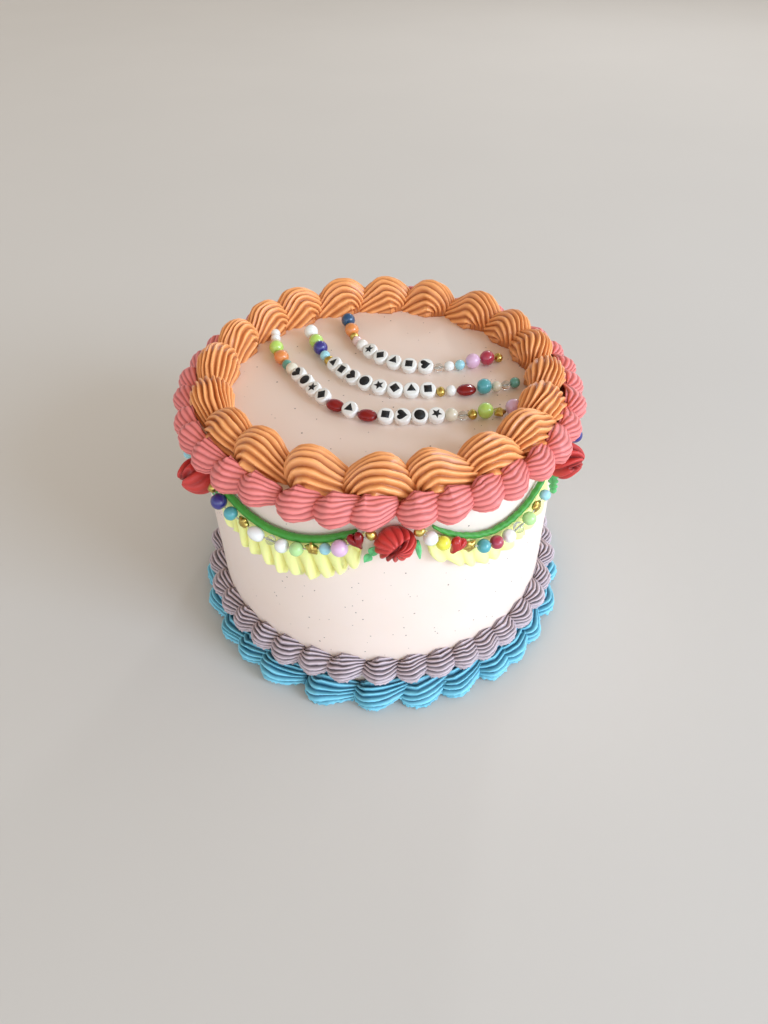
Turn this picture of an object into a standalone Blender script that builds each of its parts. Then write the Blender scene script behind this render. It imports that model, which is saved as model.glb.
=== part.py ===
"""Lambeth cake: a tall round buttercream cake with four piped shell borders, and six swags
of green rope, yellow ruffle and strung beads between red rosettes. Metres, +Z up, with the
origin at the middle of the cake's base."""

import math
import random

import bmesh
import bpy
from mathutils import Vector

MM = 0.001

# The cake: six inches of sponge under its icing, which makes 160 mm across
CAKE_RADIUS = 80 * MM
CAKE_HEIGHT = 114 * MM
CAKE_SIDES = 48
EDGE_ROUND = 1.5 * MM
# Gap that touching pieces keep, and the radius that what lies on the side starts from
GAP = 0.3 * MM
WALL = CAKE_RADIUS + GAP

# Six swags share a full turn, not quite equally, and a rosette stands where two of them meet
SWAG_ANGLES = [math.radians(angle) for angle in (60.8, 58.9, 58.9, 58.9, 58.8, 63.7)]
SWAGS = len(SWAG_ANGLES)
FIRST_ROSETTE = math.radians(-86.3)
ROPE_CLEARANCE = math.radians(9.5)
STRING_CLEARANCE = math.radians(6.4)

# Swags hang by turns low and high, so each sag is a pair
ROPE_RADIUS = 1.8 * MM
ROPE_END_HEIGHT = 104.2 * MM
ROPE_SAGS = (13.2 * MM, 7.6 * MM)
ROPE_POINTS = 7
ROPE_END_SIZE = 0.6

RUFFLE_END_HEIGHT = 91.0 * MM
RUFFLE_SAG = 15.5 * MM
RUFFLE_BODY = 10.2 * MM
RUFFLE_FLARE = 3.4 * MM
RUFFLE_WAVE = 1.1 * MM
RUFFLE_TOP_GAP = 0.5 * MM
RUFFLE_TOP_THICKNESS = 1.3 * MM
RUFFLE_THICKNESS = 1.5 * MM
RUFFLE_HEM_THICKNESS = 1.2 * MM
RUFFLE_STATIONS = 15

ROSETTE_RADIUS = 7.4 * MM
ROSETTE_DEPTHS = [depth * MM for depth in (11.0, 12.5, 12.0, 11.5, 12.0, 13.6)]
ROSETTE_HEIGHT = 98.6 * MM
ROSETTE_LIFT = 2.5 * MM
ROSETTE_PETALS = 6
ROSETTE_GROOVE = 0.78
# Share of its depth, spread and twist in degrees of a rosette's four rings
ROSETTE_RINGS = [(0.0, 0.86, 0), (0.3, 1.0, 8), (0.72, 0.86, 24), (1.0, 0.42, 44)]

LEAF_LENGTH = 8.2 * MM
LEAF_WIDTH = 4.6 * MM
LEAF_THICKNESS = 1.0 * MM
LEAF_CREASE = 1.4 * MM
LEAF_WAVE = 0.9 * MM
LEAF_SIDE = 8.8 * MM
LEAF_HEIGHT = 94.4 * MM
LEAF_LEAN = math.radians(32)
LEAF_TILT = 0.3
LEAF_STANDOFF = 2.0 * MM
LEAF_WAVE_TURN = 9.0
# Where along a half sine the leaf's width starts, so that its base is blunt
LEAF_BASE = 0.16
LEAF_FULLNESS = 0.8

# Beads: length along the thread, width and height of each kind
BEADS = {
    "mark": (6.9 * MM, 6.7 * MM, 3.8 * MM),
    "large": (6.6 * MM, 6.6 * MM, 6.6 * MM),
    "round": (5.6 * MM, 5.6 * MM, 5.6 * MM),
    "small": (4.6 * MM, 4.6 * MM, 4.6 * MM),
    "clear": (4.0 * MM, 4.0 * MM, 4.0 * MM),
    "spacer": (2.6 * MM, 4.4 * MM, 4.4 * MM),
    "star": (4.6 * MM, 5.6 * MM, 3.6 * MM),
    "heart": (8.6 * MM, 6.2 * MM, 4.4 * MM),
}
THREAD = 1.4 * MM
BEAD_SHOULDER = 0.24
BEAD_SHOULDER_WIDTH = 0.92
STRING_SIDES = 5

# Strings on top: bead kinds in order, and the few points that each thread's curve runs through
TOP_STRINGS = [
    (
        "large spacer large spacer small round mark mark mark mark mark clear small small"
        " large large star",
        [(-15.0, 54.0), (-11.9, 39.0), (-7.6, 28.0), (1.8, 15.9), (14.2, 8.8), (28.0, 8.6),
         (41.7, 11.4), (56.0, 16.6)],
    ),
    (
        "large spacer large large small star mark mark mark mark mark mark mark mark star"
        " small heart large small clear small",
        [(-32.7, 43.0), (-25.8, 23.5), (-18.2, 9.3), (-9.4, -1.3), (2.3, -8.6),
         (15.8, -10.8), (33.3, -10.2), (48.0, -8.4), (60.6, -4.2)],
    ),
    (
        "small small large spacer large small round mark mark mark mark heart mark heart mark"
        " mark mark mark round clear star large star small",
        [(-46.8, 37.4), (-45.8, 24.0), (-40.8, 12.6), (-33.2, 0.8), (-25.9, -10.9),
         (-15.3, -21.9), (-1.7, -28.2), (11.7, -29.6), (28.0, -28.8), (44.6, -26.6),
         (56.0, -24.6)],
    ),
]
SWAG_STRINGS = [
    "star round round heart star large round small clear round star small star",
    "star large round star round clear round round star small large heart star",
]
STRING_END_HEIGHT = 102.6 * MM
STRING_SAGS = (14.9 * MM, 9.9 * MM)
STRING_STANDOFF = 2.7 * MM

# How far past the side of the cake a border's section would reach if nothing stopped it
WALL_HOLD = 1.15
# Shares of a shell's length, and how unequal the shells of a hand-piped border are
SHELL_HEAD = 0.3
SHELL_SPREAD = 0.06
# Powers that crowd the sections into a shell's head and fill out its tail
HEAD_CROWDING = 1.25
TAIL_FULLNESS = 0.8


class Border:
    """One piped shell border, whose cross-section is an ellipse cut off by what carries it:
    the cake's top, its side, or its side and the table. Where a shell thins to its tail,
    lean says how far its middle moves out and up."""

    def __init__(self, name, colour, carrier, shells, radius, height, half_width, half_height,
                 points, stations, tail, lean, ridge, first, seed):
        self.name = name
        self.colour = colour
        self.carrier = carrier
        self.shells = shells
        self.radius = radius
        self.height = height
        self.half_width = half_width
        self.half_height = half_height
        self.points = points
        self.stations = stations
        self.tail = tail
        self.lean = lean
        self.ridge = ridge
        self.first = math.radians(first)
        self.seed = seed


TOP_BORDER = Border(
    "top_border", "#E8A066", "top", 20, 70.5 * MM, CAKE_HEIGHT + GAP, 9.2 * MM, 15.0 * MM,
    points=12, stations=5, tail=0.64, lean=(0.6, 0.0), ridge=1.1 * MM, first=-99.0, seed=11)
COLLAR_BORDER = Border(
    "collar_border", "#DB7472", "side", 36, 82.2 * MM, 113.0 * MM, 6.5 * MM, 6.6 * MM,
    points=8, stations=3, tail=0.72, lean=(0.0, 1.0), ridge=0.7 * MM, first=-96.0, seed=12)
BASE_BORDER_UPPER = Border(
    "base_border_upper", "#94808A", "side", 38, 82.5 * MM, 19.3 * MM, 6.5 * MM, 7.2 * MM,
    points=7, stations=3, tail=0.72, lean=(0.0, -1.0), ridge=0.7 * MM, first=-95.5, seed=13)
BASE_BORDER_LOWER = Border(
    "base_border_lower", "#2E97BC", "table", 26, 86.0 * MM, 5.5 * MM, 7.5 * MM, 6.3 * MM,
    points=7, stations=4, tail=0.78, lean=(0.0, 0.6), ridge=0.7 * MM, first=-98.0, seed=14)


def srgb_to_linear(value):
    return value / 12.92 if value <= 0.04045 else ((value + 0.055) / 1.055) ** 2.4


def material(name, colour, roughness, metallic=0.0):
    """A Principled material; colour is an sRGB hex string."""
    made = bpy.data.materials.get(name)
    if made:
        return made
    made = bpy.data.materials.new(name)
    made.use_nodes = True
    channels = [srgb_to_linear(int(colour[i:i + 2], 16) / 255) for i in (1, 3, 5)]
    shader = made.node_tree.nodes["Principled BSDF"]
    shader.inputs["Base Color"].default_value = (*channels, 1.0)
    shader.inputs["Roughness"].default_value = roughness
    shader.inputs["Metallic"].default_value = metallic
    made.diffuse_color = (*channels, 1.0)
    return made


def add_object(name, mesh, collection, finish, smooth_angle=40):
    """Puts a mesh in the cake's collection, shaded smooth except at sharp edges."""
    mesh.materials.append(finish)
    mesh.shade_smooth()
    mesh.set_sharp_from_angle(angle=math.radians(smooth_angle))
    made = bpy.data.objects.new(name, mesh)
    collection.objects.link(made)
    return made


def mesh_from(name, shape):
    """Turns a bmesh into a mesh with its faces pointing out."""
    bmesh.ops.recalc_face_normals(shape, faces=shape.faces)
    mesh = bpy.data.meshes.new(name)
    shape.to_mesh(mesh)
    shape.free()
    return mesh


def loft(name, sections, closed):
    """Skins a row of sections with equal point counts: a closed ring, or a bar with end caps."""
    shape = bmesh.new()
    rings = [[shape.verts.new(point) for point in section] for section in sections]
    follows = rings[1:] + rings[:1] if closed else rings[1:]
    for near, far in zip(rings, follows):
        for i in range(len(near)):
            j = (i + 1) % len(near)
            shape.faces.new((near[i], near[j], far[j], far[i]))
    if not closed:
        shape.faces.new(rings[0])
        shape.faces.new(reversed(rings[-1]))
    return mesh_from(name, shape)


def around(radius, angle, height):
    """The point at a radius, angle and height about the cake's axis."""
    return Vector((radius * math.cos(angle), radius * math.sin(angle), height))


def shell_size(travel, tail):
    """Size of a piped shell along its length: a quick round head, then a falling tail."""
    if travel < SHELL_HEAD:
        swell = math.sqrt(1 - (1 - travel / SHELL_HEAD) ** 2)
    else:
        swell = math.cos((travel - SHELL_HEAD) / (1 - SHELL_HEAD) * math.pi / 2) ** TAIL_FULLNESS
    return tail + (1 - tail) * swell


def free_side(carrier, radius, middle, inner, height):
    """Start and end angles of the part of a section that nothing carries."""
    if carrier == "top":
        return 0.0, math.pi
    wall = math.acos((WALL - radius) / inner)
    if carrier == "side":
        return -wall, wall
    return -math.asin(middle / height), wall


def border_section(border, angle, size):
    """Points of one section, with a crest or a groove at every other one of its free side."""
    outer = border.half_width * size
    height = border.half_height * size
    radius = border.radius + border.lean[0] * (border.half_width - outer)
    middle = border.height + border.lean[1] * (border.half_height - height)
    inner = outer if border.carrier == "top" else max(outer, (radius - WALL) * WALL_HOLD)
    depth = max(height, middle) if border.carrier == "table" else height
    start, end = free_side(border.carrier, radius, middle, inner, depth)
    count = border.points - (border.carrier == "table")
    section = []
    for i in range(count):
        turn = start + (end - start) * i / (count - 1)
        groove = border.ridge * size if 0 < i < count - 1 and i % 2 else 0.0
        reach = (outer if math.cos(turn) > 0 else inner) - groove
        rise = (height if turn > 0 else depth) - groove
        place = around(radius + reach * math.cos(turn), angle, middle + rise * math.sin(turn))
        section.append(place)
    if border.carrier == "table":
        section[0].z = 0.0
        section.append(around(WALL, angle, 0.0))
    return section


def build_border(border, collection):
    """Pipes a border anticlockwise as one ring: each fat head sits on the tail before it."""
    draw = random.Random(border.seed)
    pitch = 2 * math.pi / border.shells
    sections = []
    for shell in range(border.shells):
        scale = 1.0 - SHELL_SPREAD * draw.random()
        for station in range(border.stations):
            travel = (station / border.stations) ** HEAD_CROWDING
            angle = border.first + (shell + travel) * pitch
            size = shell_size(travel, border.tail) * scale
            sections.append(border_section(border, angle, size))
    mesh = loft(border.name, sections, closed=True)
    add_object(border.name, mesh, collection, material(border.name, border.colour, 0.55), 50)


def build_cake(collection):
    """The iced body: a round block with a softened top edge."""
    shape = bmesh.new()
    bmesh.ops.create_cone(
        shape, cap_ends=True, segments=CAKE_SIDES, radius1=CAKE_RADIUS, radius2=CAKE_RADIUS,
        depth=CAKE_HEIGHT)
    bmesh.ops.translate(shape, verts=shape.verts, vec=(0, 0, CAKE_HEIGHT / 2))
    top_edge = [
        edge for edge in shape.edges
        if all(vert.co.z > CAKE_HEIGHT - MM for vert in edge.verts)]
    bmesh.ops.bevel(
        shape, geom=top_edge, offset=EDGE_ROUND, offset_type="OFFSET", segments=1, profile=0.5,
        affect="EDGES", material=-1)
    mesh = mesh_from("cake_body", shape)
    add_object("cake_body", mesh, collection, material("blush_icing", "#EBD9CC", 0.5))


def swag_start(swag):
    return FIRST_ROSETTE + sum(SWAG_ANGLES[:swag])


def swag_angle(swag, clearance, share):
    """The angle at a share of the way along a swag, which stays clear of its two rosettes."""
    return swag_start(swag) + clearance + share * (SWAG_ANGLES[swag] - 2 * clearance)


def hang(end, sag, share):
    """Height of what hangs between two ends, at a share of the way along."""
    return end - sag * (1 - (2 * share - 1) ** 2)


def build_rope(swag, collection):
    """The green rope: a drooping tube pressed to the side of the cake."""
    name = f"swag_rope_{swag + 1}"
    curve = bpy.data.curves.new(name, "CURVE")
    curve.dimensions = "3D"
    curve.bevel_depth = ROPE_RADIUS
    curve.bevel_resolution = 1
    curve.use_fill_caps = True
    spline = curve.splines.new("POLY")
    spline.points.add(ROPE_POINTS - 1)
    for i, point in enumerate(spline.points):
        share = i / (ROPE_POINTS - 1)
        angle = swag_angle(swag, ROPE_CLEARANCE, share)
        height = hang(ROPE_END_HEIGHT, ROPE_SAGS[swag % 2], share)
        place = around(WALL + ROPE_RADIUS, angle, height)
        point.co = (*place, 1.0)
        point.radius = ROPE_END_SIZE if i in (0, ROPE_POINTS - 1) else 1.0
    curve.materials.append(material("green_icing", "#57A85A", 0.5))
    collection.objects.link(bpy.data.objects.new(name, curve))


def build_ruffle(swag, collection):
    """The yellow ruffle: a fluted band that hangs under the rope and flares at its hem."""
    sections = []
    for i in range(RUFFLE_STATIONS):
        share = i / (RUFFLE_STATIONS - 1)
        angle = swag_angle(swag, ROPE_CLEARANCE, share)
        rope = hang(ROPE_END_HEIGHT, ROPE_SAGS[swag % 2], share)
        top = rope - ROPE_RADIUS - RUFFLE_TOP_GAP
        hem = hang(RUFFLE_END_HEIGHT, RUFFLE_SAG, share)
        wave = RUFFLE_WAVE if i % 2 else -RUFFLE_WAVE
        sections.append([
            around(WALL, angle, top),
            around(WALL + RUFFLE_TOP_THICKNESS, angle, top),
            around(WALL + RUFFLE_THICKNESS, angle, rope - RUFFLE_BODY),
            around(WALL + RUFFLE_FLARE + wave, angle, hem - wave),
            around(WALL, angle, hem + RUFFLE_HEM_THICKNESS),
        ])
    name = f"swag_ruffle_{swag + 1}"
    mesh = loft(name, sections, closed=False)
    add_object(name, mesh, collection, material("yellow_icing", "#EFEF8E", 0.5), 60)


def build_rosette(swag, collection):
    """A red drop flower: fluted rings that twist as they rise from the side and look up."""
    count = 2 * ROSETTE_PETALS
    facing = swag_start(swag)
    out = around(1.0, facing, 0.0)
    side = around(1.0, facing + math.pi / 2, 0.0)
    base = out * WALL + Vector((0, 0, ROSETTE_HEIGHT))
    sections = []
    for rise, spread, twist in ROSETTE_RINGS:
        section = []
        for i in range(count):
            turn = math.radians(twist) + 2 * math.pi * i / count
            reach = ROSETTE_RADIUS * spread * (ROSETTE_GROOVE if i % 2 else 1.0)
            section.append(
                base + out * (rise * ROSETTE_DEPTHS[swag]) + side * (reach * math.cos(turn))
                + Vector((0, 0, reach * math.sin(turn) + rise ** 2 * ROSETTE_LIFT)))
        sections.append(section)
    name = f"rosette_{swag + 1}"
    mesh = loft(name, sections, closed=False)
    add_object(name, mesh, collection, material("red_icing", "#D24A45", 0.45), 60)


def build_leaf(number, swag, hand, collection):
    """A piped leaf: a thin wavy blade that leans down and away from its rosette."""
    shape = bmesh.new()
    bmesh.ops.create_grid(shape, x_segments=2, y_segments=3, size=0.5)
    for vert in shape.verts:
        across, along = vert.co.x * 2, vert.co.y + 0.5
        blunt = LEAF_BASE + (1 - LEAF_BASE) * along
        width = LEAF_WIDTH / 2 * math.sin(math.pi * blunt) ** LEAF_FULLNESS
        crease = LEAF_CREASE * (1 - abs(across)) * (1 - along)
        wave = LEAF_WAVE * across * math.sin(along * LEAF_WAVE_TURN)
        vert.co = (across * max(width, 0.0), along * LEAF_LENGTH, wave - crease)
    bmesh.ops.remove_doubles(shape, verts=shape.verts, dist=0.01 * MM)
    bmesh.ops.triangulate(shape, faces=shape.faces)
    name = f"leaf_{number}"
    mesh = mesh_from(name, shape)
    facing = swag_start(swag) + hand * LEAF_SIDE / CAKE_RADIUS
    out = around(1.0, facing, 0.0)
    side = around(1.0, facing + math.pi / 2, 0.0)
    tip = side * (hand * math.sin(LEAF_LEAN)) - Vector((0, 0, math.cos(LEAF_LEAN)))
    tip = (tip + out * LEAF_TILT).normalized()
    across = tip.cross(out).normalized()
    lift = across.cross(tip).normalized()
    base = out * (WALL + LEAF_STANDOFF) + Vector((0, 0, LEAF_HEIGHT))
    for vert in mesh.vertices:
        vert.co = base + across * vert.co.x + tip * vert.co.y + lift * vert.co.z
    made = add_object(name, mesh, collection, material("leaf_icing", "#4FAE68", 0.5), 60)
    thickness = made.modifiers.new("Thickness", "SOLIDIFY")
    thickness.thickness = LEAF_THICKNESS
    thickness.offset = 0.0
    made.modifiers.new("Triangles", "TRIANGULATE")


def curve_through(points, share):
    """A Catmull-Rom curve through the points, at a share of its length in points."""
    ends = [points[0] * 2 - points[1], *points, points[-1] * 2 - points[-2]]
    place = min(share * (len(points) - 1), len(points) - 1.0001)
    i = int(place)
    t = place - i
    a, b, c, d = ends[i:i + 4]
    return 0.5 * (2 * b + (c - a) * t + (2 * a - 5 * b + 4 * c - d) * t ** 2
                  + (3 * b - a - 3 * c + d) * t ** 3)


def resample(path, steps=400):
    """Samples a path and the distance along it, so that beads can be laid by their length."""
    points = [path(i / steps) for i in range(steps + 1)]
    reached = [0.0]
    for near, far in zip(points, points[1:]):
        reached.append(reached[-1] + (far - near).length)
    return points, reached


def place_on(points, reached, distance):
    """Point and direction at a distance along a sampled path."""
    distance = min(max(distance, 0.0), reached[-1])
    i = next(i for i in range(1, len(reached)) if reached[i] >= distance)
    share = (distance - reached[i - 1]) / (reached[i] - reached[i - 1])
    return points[i - 1].lerp(points[i], share), (points[i] - points[i - 1]).normalized()


def string_section(place, ahead, out, width, height, lift):
    """A five-sided section that stands on the carrying surface with a flat side."""
    side = out.cross(ahead).normalized()
    flat = math.cos(math.pi / STRING_SIDES)
    section = []
    for i in range(STRING_SIDES):
        turn = math.radians(-90) + (i + 0.5) * 2 * math.pi / STRING_SIDES
        across = math.cos(turn) * width / 2
        up = lift + (math.sin(turn) + flat) / (1 + flat) * height
        section.append(place + side * across + out * up)
    return section


def build_string(name, kinds, path, outward, collection):
    """Beads on a thread, spread evenly over the path: two shoulders each, and a neck between."""
    points, reached = resample(path)
    sizes = [BEADS[kind] for kind in kinds]
    spare = (reached[-1] - sum(size[0] for size in sizes)) / len(sizes)
    sections = []
    edge = 0.0
    for i, (length, width, height) in enumerate(sizes):
        middle = edge + (length + spare) / 2
        for step in (-BEAD_SHOULDER, BEAD_SHOULDER):
            place, ahead = place_on(points, reached, middle + step * length)
            sections.append(string_section(
                place, ahead, outward(place), width * BEAD_SHOULDER_WIDTH, height, 0.0))
        edge += length + spare
        if i + 1 < len(sizes):
            place, ahead = place_on(points, reached, edge)
            lift = min(height, sizes[i + 1][2]) / 2 - THREAD / 2
            sections.append(string_section(place, ahead, outward(place), THREAD, THREAD, lift))
    mesh = loft(name, sections, closed=False)
    add_object(name, mesh, collection, material("beads", "#F2EFE6", 0.2), 35)


def build_top_strings(collection):
    for number, (kinds, through) in enumerate(TOP_STRINGS, start=1):
        points = [Vector((x * MM, y * MM, CAKE_HEIGHT + GAP)) for x, y in through]
        build_string(
            f"top_bead_string_{number}", kinds.split(),
            lambda share, points=points: curve_through(points, share),
            lambda place: Vector((0, 0, 1)), collection)


def build_swag_string(swag, collection):
    carrier = WALL + STRING_STANDOFF

    def path(share):
        height = hang(STRING_END_HEIGHT, STRING_SAGS[swag % 2], share)
        return around(carrier, swag_angle(swag, STRING_CLEARANCE, share), height)

    build_string(
        f"swag_bead_string_{swag + 1}", SWAG_STRINGS[swag % 2].split(), path,
        lambda place: Vector((place.x, place.y, 0)).normalized(), collection)


def build_swags(collection):
    for swag in range(SWAGS):
        build_rope(swag, collection)
        build_ruffle(swag, collection)
        build_rosette(swag, collection)
        build_leaf(2 * swag + 1, swag, -1, collection)
        build_leaf(2 * swag + 2, swag, 1, collection)
        build_swag_string(swag, collection)


def clear_scene():
    for old in list(bpy.data.objects):
        bpy.data.objects.remove(old, do_unlink=True)


def main():
    clear_scene()
    collection = bpy.data.collections.new("lambeth_cake")
    bpy.context.scene.collection.children.link(collection)
    build_cake(collection)
    for border in (TOP_BORDER, COLLAR_BORDER, BASE_BORDER_UPPER, BASE_BORDER_LOWER):
        build_border(border, collection)
    build_swags(collection)
    build_top_strings(collection)


main()
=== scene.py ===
"""The looks of a lambeth cake: piped buttercream borders, swags and strung beads.

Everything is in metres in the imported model's own frame: +Z up, the cake standing on z = 0,
and the photograph's camera looks along +Y. Sizes of pieces are named in millimetres.

Each piped form is a ball of points that is pressed into shape by a surface function. It gives
a point's place from its turn, the share of the way round the form's section, and its travel,
the share of the way along the form.
"""

import bisect
import functools
import logging
import math
import random
from dataclasses import dataclass, field
from enum import Enum
from typing import Any, Callable

import bmesh
import bpy
from bmesh.types import BMesh, BMVert
from mathutils import Matrix, Vector, noise


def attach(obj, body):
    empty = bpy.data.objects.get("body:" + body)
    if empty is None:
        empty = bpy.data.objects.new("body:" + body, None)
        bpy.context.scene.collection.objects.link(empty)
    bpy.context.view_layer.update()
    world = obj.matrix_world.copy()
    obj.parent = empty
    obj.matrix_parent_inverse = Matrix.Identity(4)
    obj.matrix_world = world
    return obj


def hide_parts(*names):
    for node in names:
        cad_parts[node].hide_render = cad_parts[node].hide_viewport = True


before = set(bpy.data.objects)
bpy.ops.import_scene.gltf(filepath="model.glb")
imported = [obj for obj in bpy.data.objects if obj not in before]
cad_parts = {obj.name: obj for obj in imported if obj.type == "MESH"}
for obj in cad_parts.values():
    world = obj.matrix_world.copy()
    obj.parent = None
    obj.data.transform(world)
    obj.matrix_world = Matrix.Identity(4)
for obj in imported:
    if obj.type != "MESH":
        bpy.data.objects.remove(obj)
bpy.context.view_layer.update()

log = logging.getLogger("cake")

MM = 0.001
TAU = 2 * math.pi

# The iced block, and the gap that the solids keep to it
CAKE_RADIUS = 80.0
CAKE_HEIGHT = 114.0
GAP = 0.3
WALL = CAKE_RADIUS + GAP

# The farthest that a piece may reach from the axis and above the table
OUTERMOST = 92.7
TOPMOST = 129.08

# Six swags go round the side; a rosette stands where two of them meet
SWAG_ANGLES = [math.radians(angle) for angle in (60.8, 58.9, 58.9, 58.9, 58.8, 63.7)]
FIRST_ROSETTE = math.radians(-86.3)

Colour = tuple[float, float, float, float]
Socket = bpy.types.NodeSocket
Surface = Callable[[float, float], tuple[Vector, float]]
Verts = list[BMVert]


def linear(colour: str, share: float = 1.0) -> Colour:
    """Turns an sRGB colour to the linear one that shaders take.

    Args:
        colour: The colour as #RRGGBB.
        share: How bright it is beside that.

    Returns:
        Linear red, green, blue and an alpha of 1.
    """
    channels = [int(colour[i:i + 2], 16) / 255 for i in (1, 3, 5)]
    red, green, blue = [
        share * (c / 12.92 if c <= 0.04045 else ((c + 0.055) / 1.055) ** 2.4) for c in channels]
    return red, green, blue, 1.0


def set_sockets(tree: bpy.types.NodeTree, node: bpy.types.Node,
                inputs: dict[str | int, Any]) -> bpy.types.Node:
    """Sets the sockets of a node.

    Args:
        tree: The node tree that it is in.
        node: The node.
        inputs: What each of its sockets holds: a value, or another node's output to link.

    Returns:
        The node.
    """
    for socket, value in inputs.items():
        if isinstance(value, Socket):
            tree.links.new(value, node.inputs[socket])
        else:
            node.inputs[socket].default_value = value
    return node


def add_node(tree: bpy.types.NodeTree, kind: str, inputs: dict[str | int, Any] | None = None,
             **settings: Any) -> bpy.types.Node:
    """Adds a shader node.

    Args:
        tree: The node tree that it goes into.
        kind: Blender's name for the node, without the words that all of them start with.
        inputs: What its sockets hold, as set_sockets takes it.
        **settings: The node's own properties.

    Returns:
        The new node.
    """
    node = tree.nodes.new(f"ShaderNode{kind}")
    for name, value in settings.items():
        setattr(node, name, value)
    return set_sockets(tree, node, inputs or {})


def per_metre(size: float) -> float:
    """Scale of a texture whose features measure size millimetres."""
    return 1.0 / (size * MM)


def smooth_step(value: float) -> float:
    """Eases a number from 0 to 1, and holds it there beyond them."""
    value = min(max(value, 0.0), 1.0)
    return value * value * (3 - 2 * value)


def mix(first: float, last: float, share: float) -> float:
    """The number at a share of the way from first to last."""
    return first + (last - first) * share


def around(radius: float, angle: float, height: float) -> Vector:
    """The point at a radius and height in millimetres, at an angle about the cake's axis."""
    return Vector((radius * math.cos(angle), radius * math.sin(angle), height))


def hang(end: float, sag: float, share: float) -> float:
    """The height at a share of the way along something that hangs between two ends."""
    return end - sag * (1 - (2 * share - 1) ** 2)


# Finishes


class Nodes:
    """The nodes of a material or world, with patterns laid on in real millimetres."""

    def __init__(self, owner: bpy.types.Material | bpy.types.World,
                 coordinates: str = "Object") -> None:
        """Starts the nodes.

        Args:
            owner: The material or world that they belong to.
            coordinates: Which of Blender's coordinates the patterns follow.
        """
        owner.use_nodes = True
        self.tree = owner.node_tree
        self.place = self.add("TexCoord").outputs[coordinates]

    def add(self, kind: str, inputs: dict[str | int, Any] | None = None,
            **settings: Any) -> bpy.types.Node:
        """Adds a node to this tree."""
        return add_node(self.tree, kind, inputs, **settings)

    def cloud(self, size: float, detail: float = 2.0,
              place: Socket | None = None) -> Socket:
        """Adds noise.

        Args:
            size: Of its features, in millimetres.
            detail: How many times finer noise is added to it.
            place: What it follows, where that isn't the place on the piece.

        Returns:
            The noise, from 0 to 1.
        """
        vector = self.place if place is None else place
        inputs = {"Vector": vector, "Scale": per_metre(size), "Detail": detail}
        return self.add("TexNoise", inputs).outputs["Fac"]

    def reckon(self, operation: str, *values: Any, clamp: bool = False) -> Socket:
        """The outcome of a sum with numbers or sockets, kept between 0 and 1 by clamp."""
        inputs = dict(enumerate(values))
        return self.add("Math", inputs, operation=operation, use_clamp=clamp).outputs[0]

    def spread(self, share: Socket, least: float,
               most: float) -> Socket:
        """The number at a share of the way from least to most."""
        inputs = {"Value": share, "To Min": least, "To Max": most}
        return self.add("MapRange", inputs).outputs[0]

    def blend(self, share: Socket, first: Colour | Socket,
              last: Colour) -> Socket:
        """The colour at a share of the way from first to last."""
        inputs = {"Factor": share, 6: first, 7: last}
        return self.add("Mix", inputs, data_type="RGBA").outputs[2]

    def relief(self, height: Socket, strength: float,
               depth: float) -> Socket:
        """The way that the surface faces where it has relief, its depth in millimetres."""
        inputs = {"Height": height, "Strength": strength, "Distance": depth * MM}
        return self.add("Bump", inputs).outputs["Normal"]

    def shade(self, inputs: dict[str, Any], shader: str = "Principled BSDF") -> None:
        """Sets the sockets of the shader that the tree came with."""
        set_sockets(self.tree, self.tree.nodes[shader], inputs)


@dataclass(frozen=True)
class Finish:
    """How a piece is finished."""

    name: str

    def material(self) -> bpy.types.Material:
        """Makes the material the first time that it is asked for.

        Returns:
            The material.
        """
        made = bpy.data.materials.get(self.name)
        if not made:
            made = bpy.data.materials.new(self.name)
            self.dress(Nodes(made))
        return made

    def dress(self, nodes: Nodes) -> None:
        """Sets up the material's nodes."""
        raise NotImplementedError


@dataclass(frozen=True)
class Buttercream(Finish):
    """Buttercream, coloured with gel: a fat emulsion that looks satin and lets some light in.

    Between two ridges the colour is painted deeper: painted shade, as light bounces from icing
    to icing there.
    Fine air pits and a slight smear from the tip break its gloss.

    Attributes:
        ridge: Colour of the ridges.
        groove: The painted shade colour of the grooves.
        roughness: The middle of it.
        glow: Share of the light that goes in and comes out again.
    """

    ridge: str
    groove: str
    roughness: float = 0.44
    glow: float = 0.06

    # Sizes of a smear and of an air pit, and the pit's depth
    SMEAR = 7.0
    PIT = 0.55
    PIT_DEPTH = 0.10
    # How far a smear shifts the colour towards that of the grooves, and the roughness
    COLOUR_SHIFT = 0.3
    ROUGHNESS_SHIFT = 0.08

    def dress(self, nodes: Nodes) -> None:
        """Sets up the icing.

        Args:
            nodes: The material's nodes.
        """
        # How much painted shade each point gets, as its form stored it
        groove = nodes.add("Attribute", attribute_name="groove").outputs["Fac"]
        smear = nodes.cloud(self.SMEAR, 3.0)
        shift = nodes.reckon("ADD", smear, -0.5)
        depth = nodes.reckon("MULTIPLY_ADD", shift, self.COLOUR_SHIFT, groove, clamp=True)
        # The colour goes from the ridge colour to the painted groove shade
        nodes.shade({
            "Base Color": nodes.blend(depth, linear(self.ridge), linear(self.groove)),
            "Normal": nodes.relief(nodes.cloud(self.PIT), 0.35, self.PIT_DEPTH),
            "Roughness": nodes.spread(smear, self.roughness - self.ROUGHNESS_SHIFT,
                                      self.roughness + self.ROUGHNESS_SHIFT),
            "IOR": 1.46, "Subsurface Weight": self.glow,
            "Subsurface Radius": (1.0, 0.6, 0.4), "Subsurface Scale": 2.0 * MM})


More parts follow.
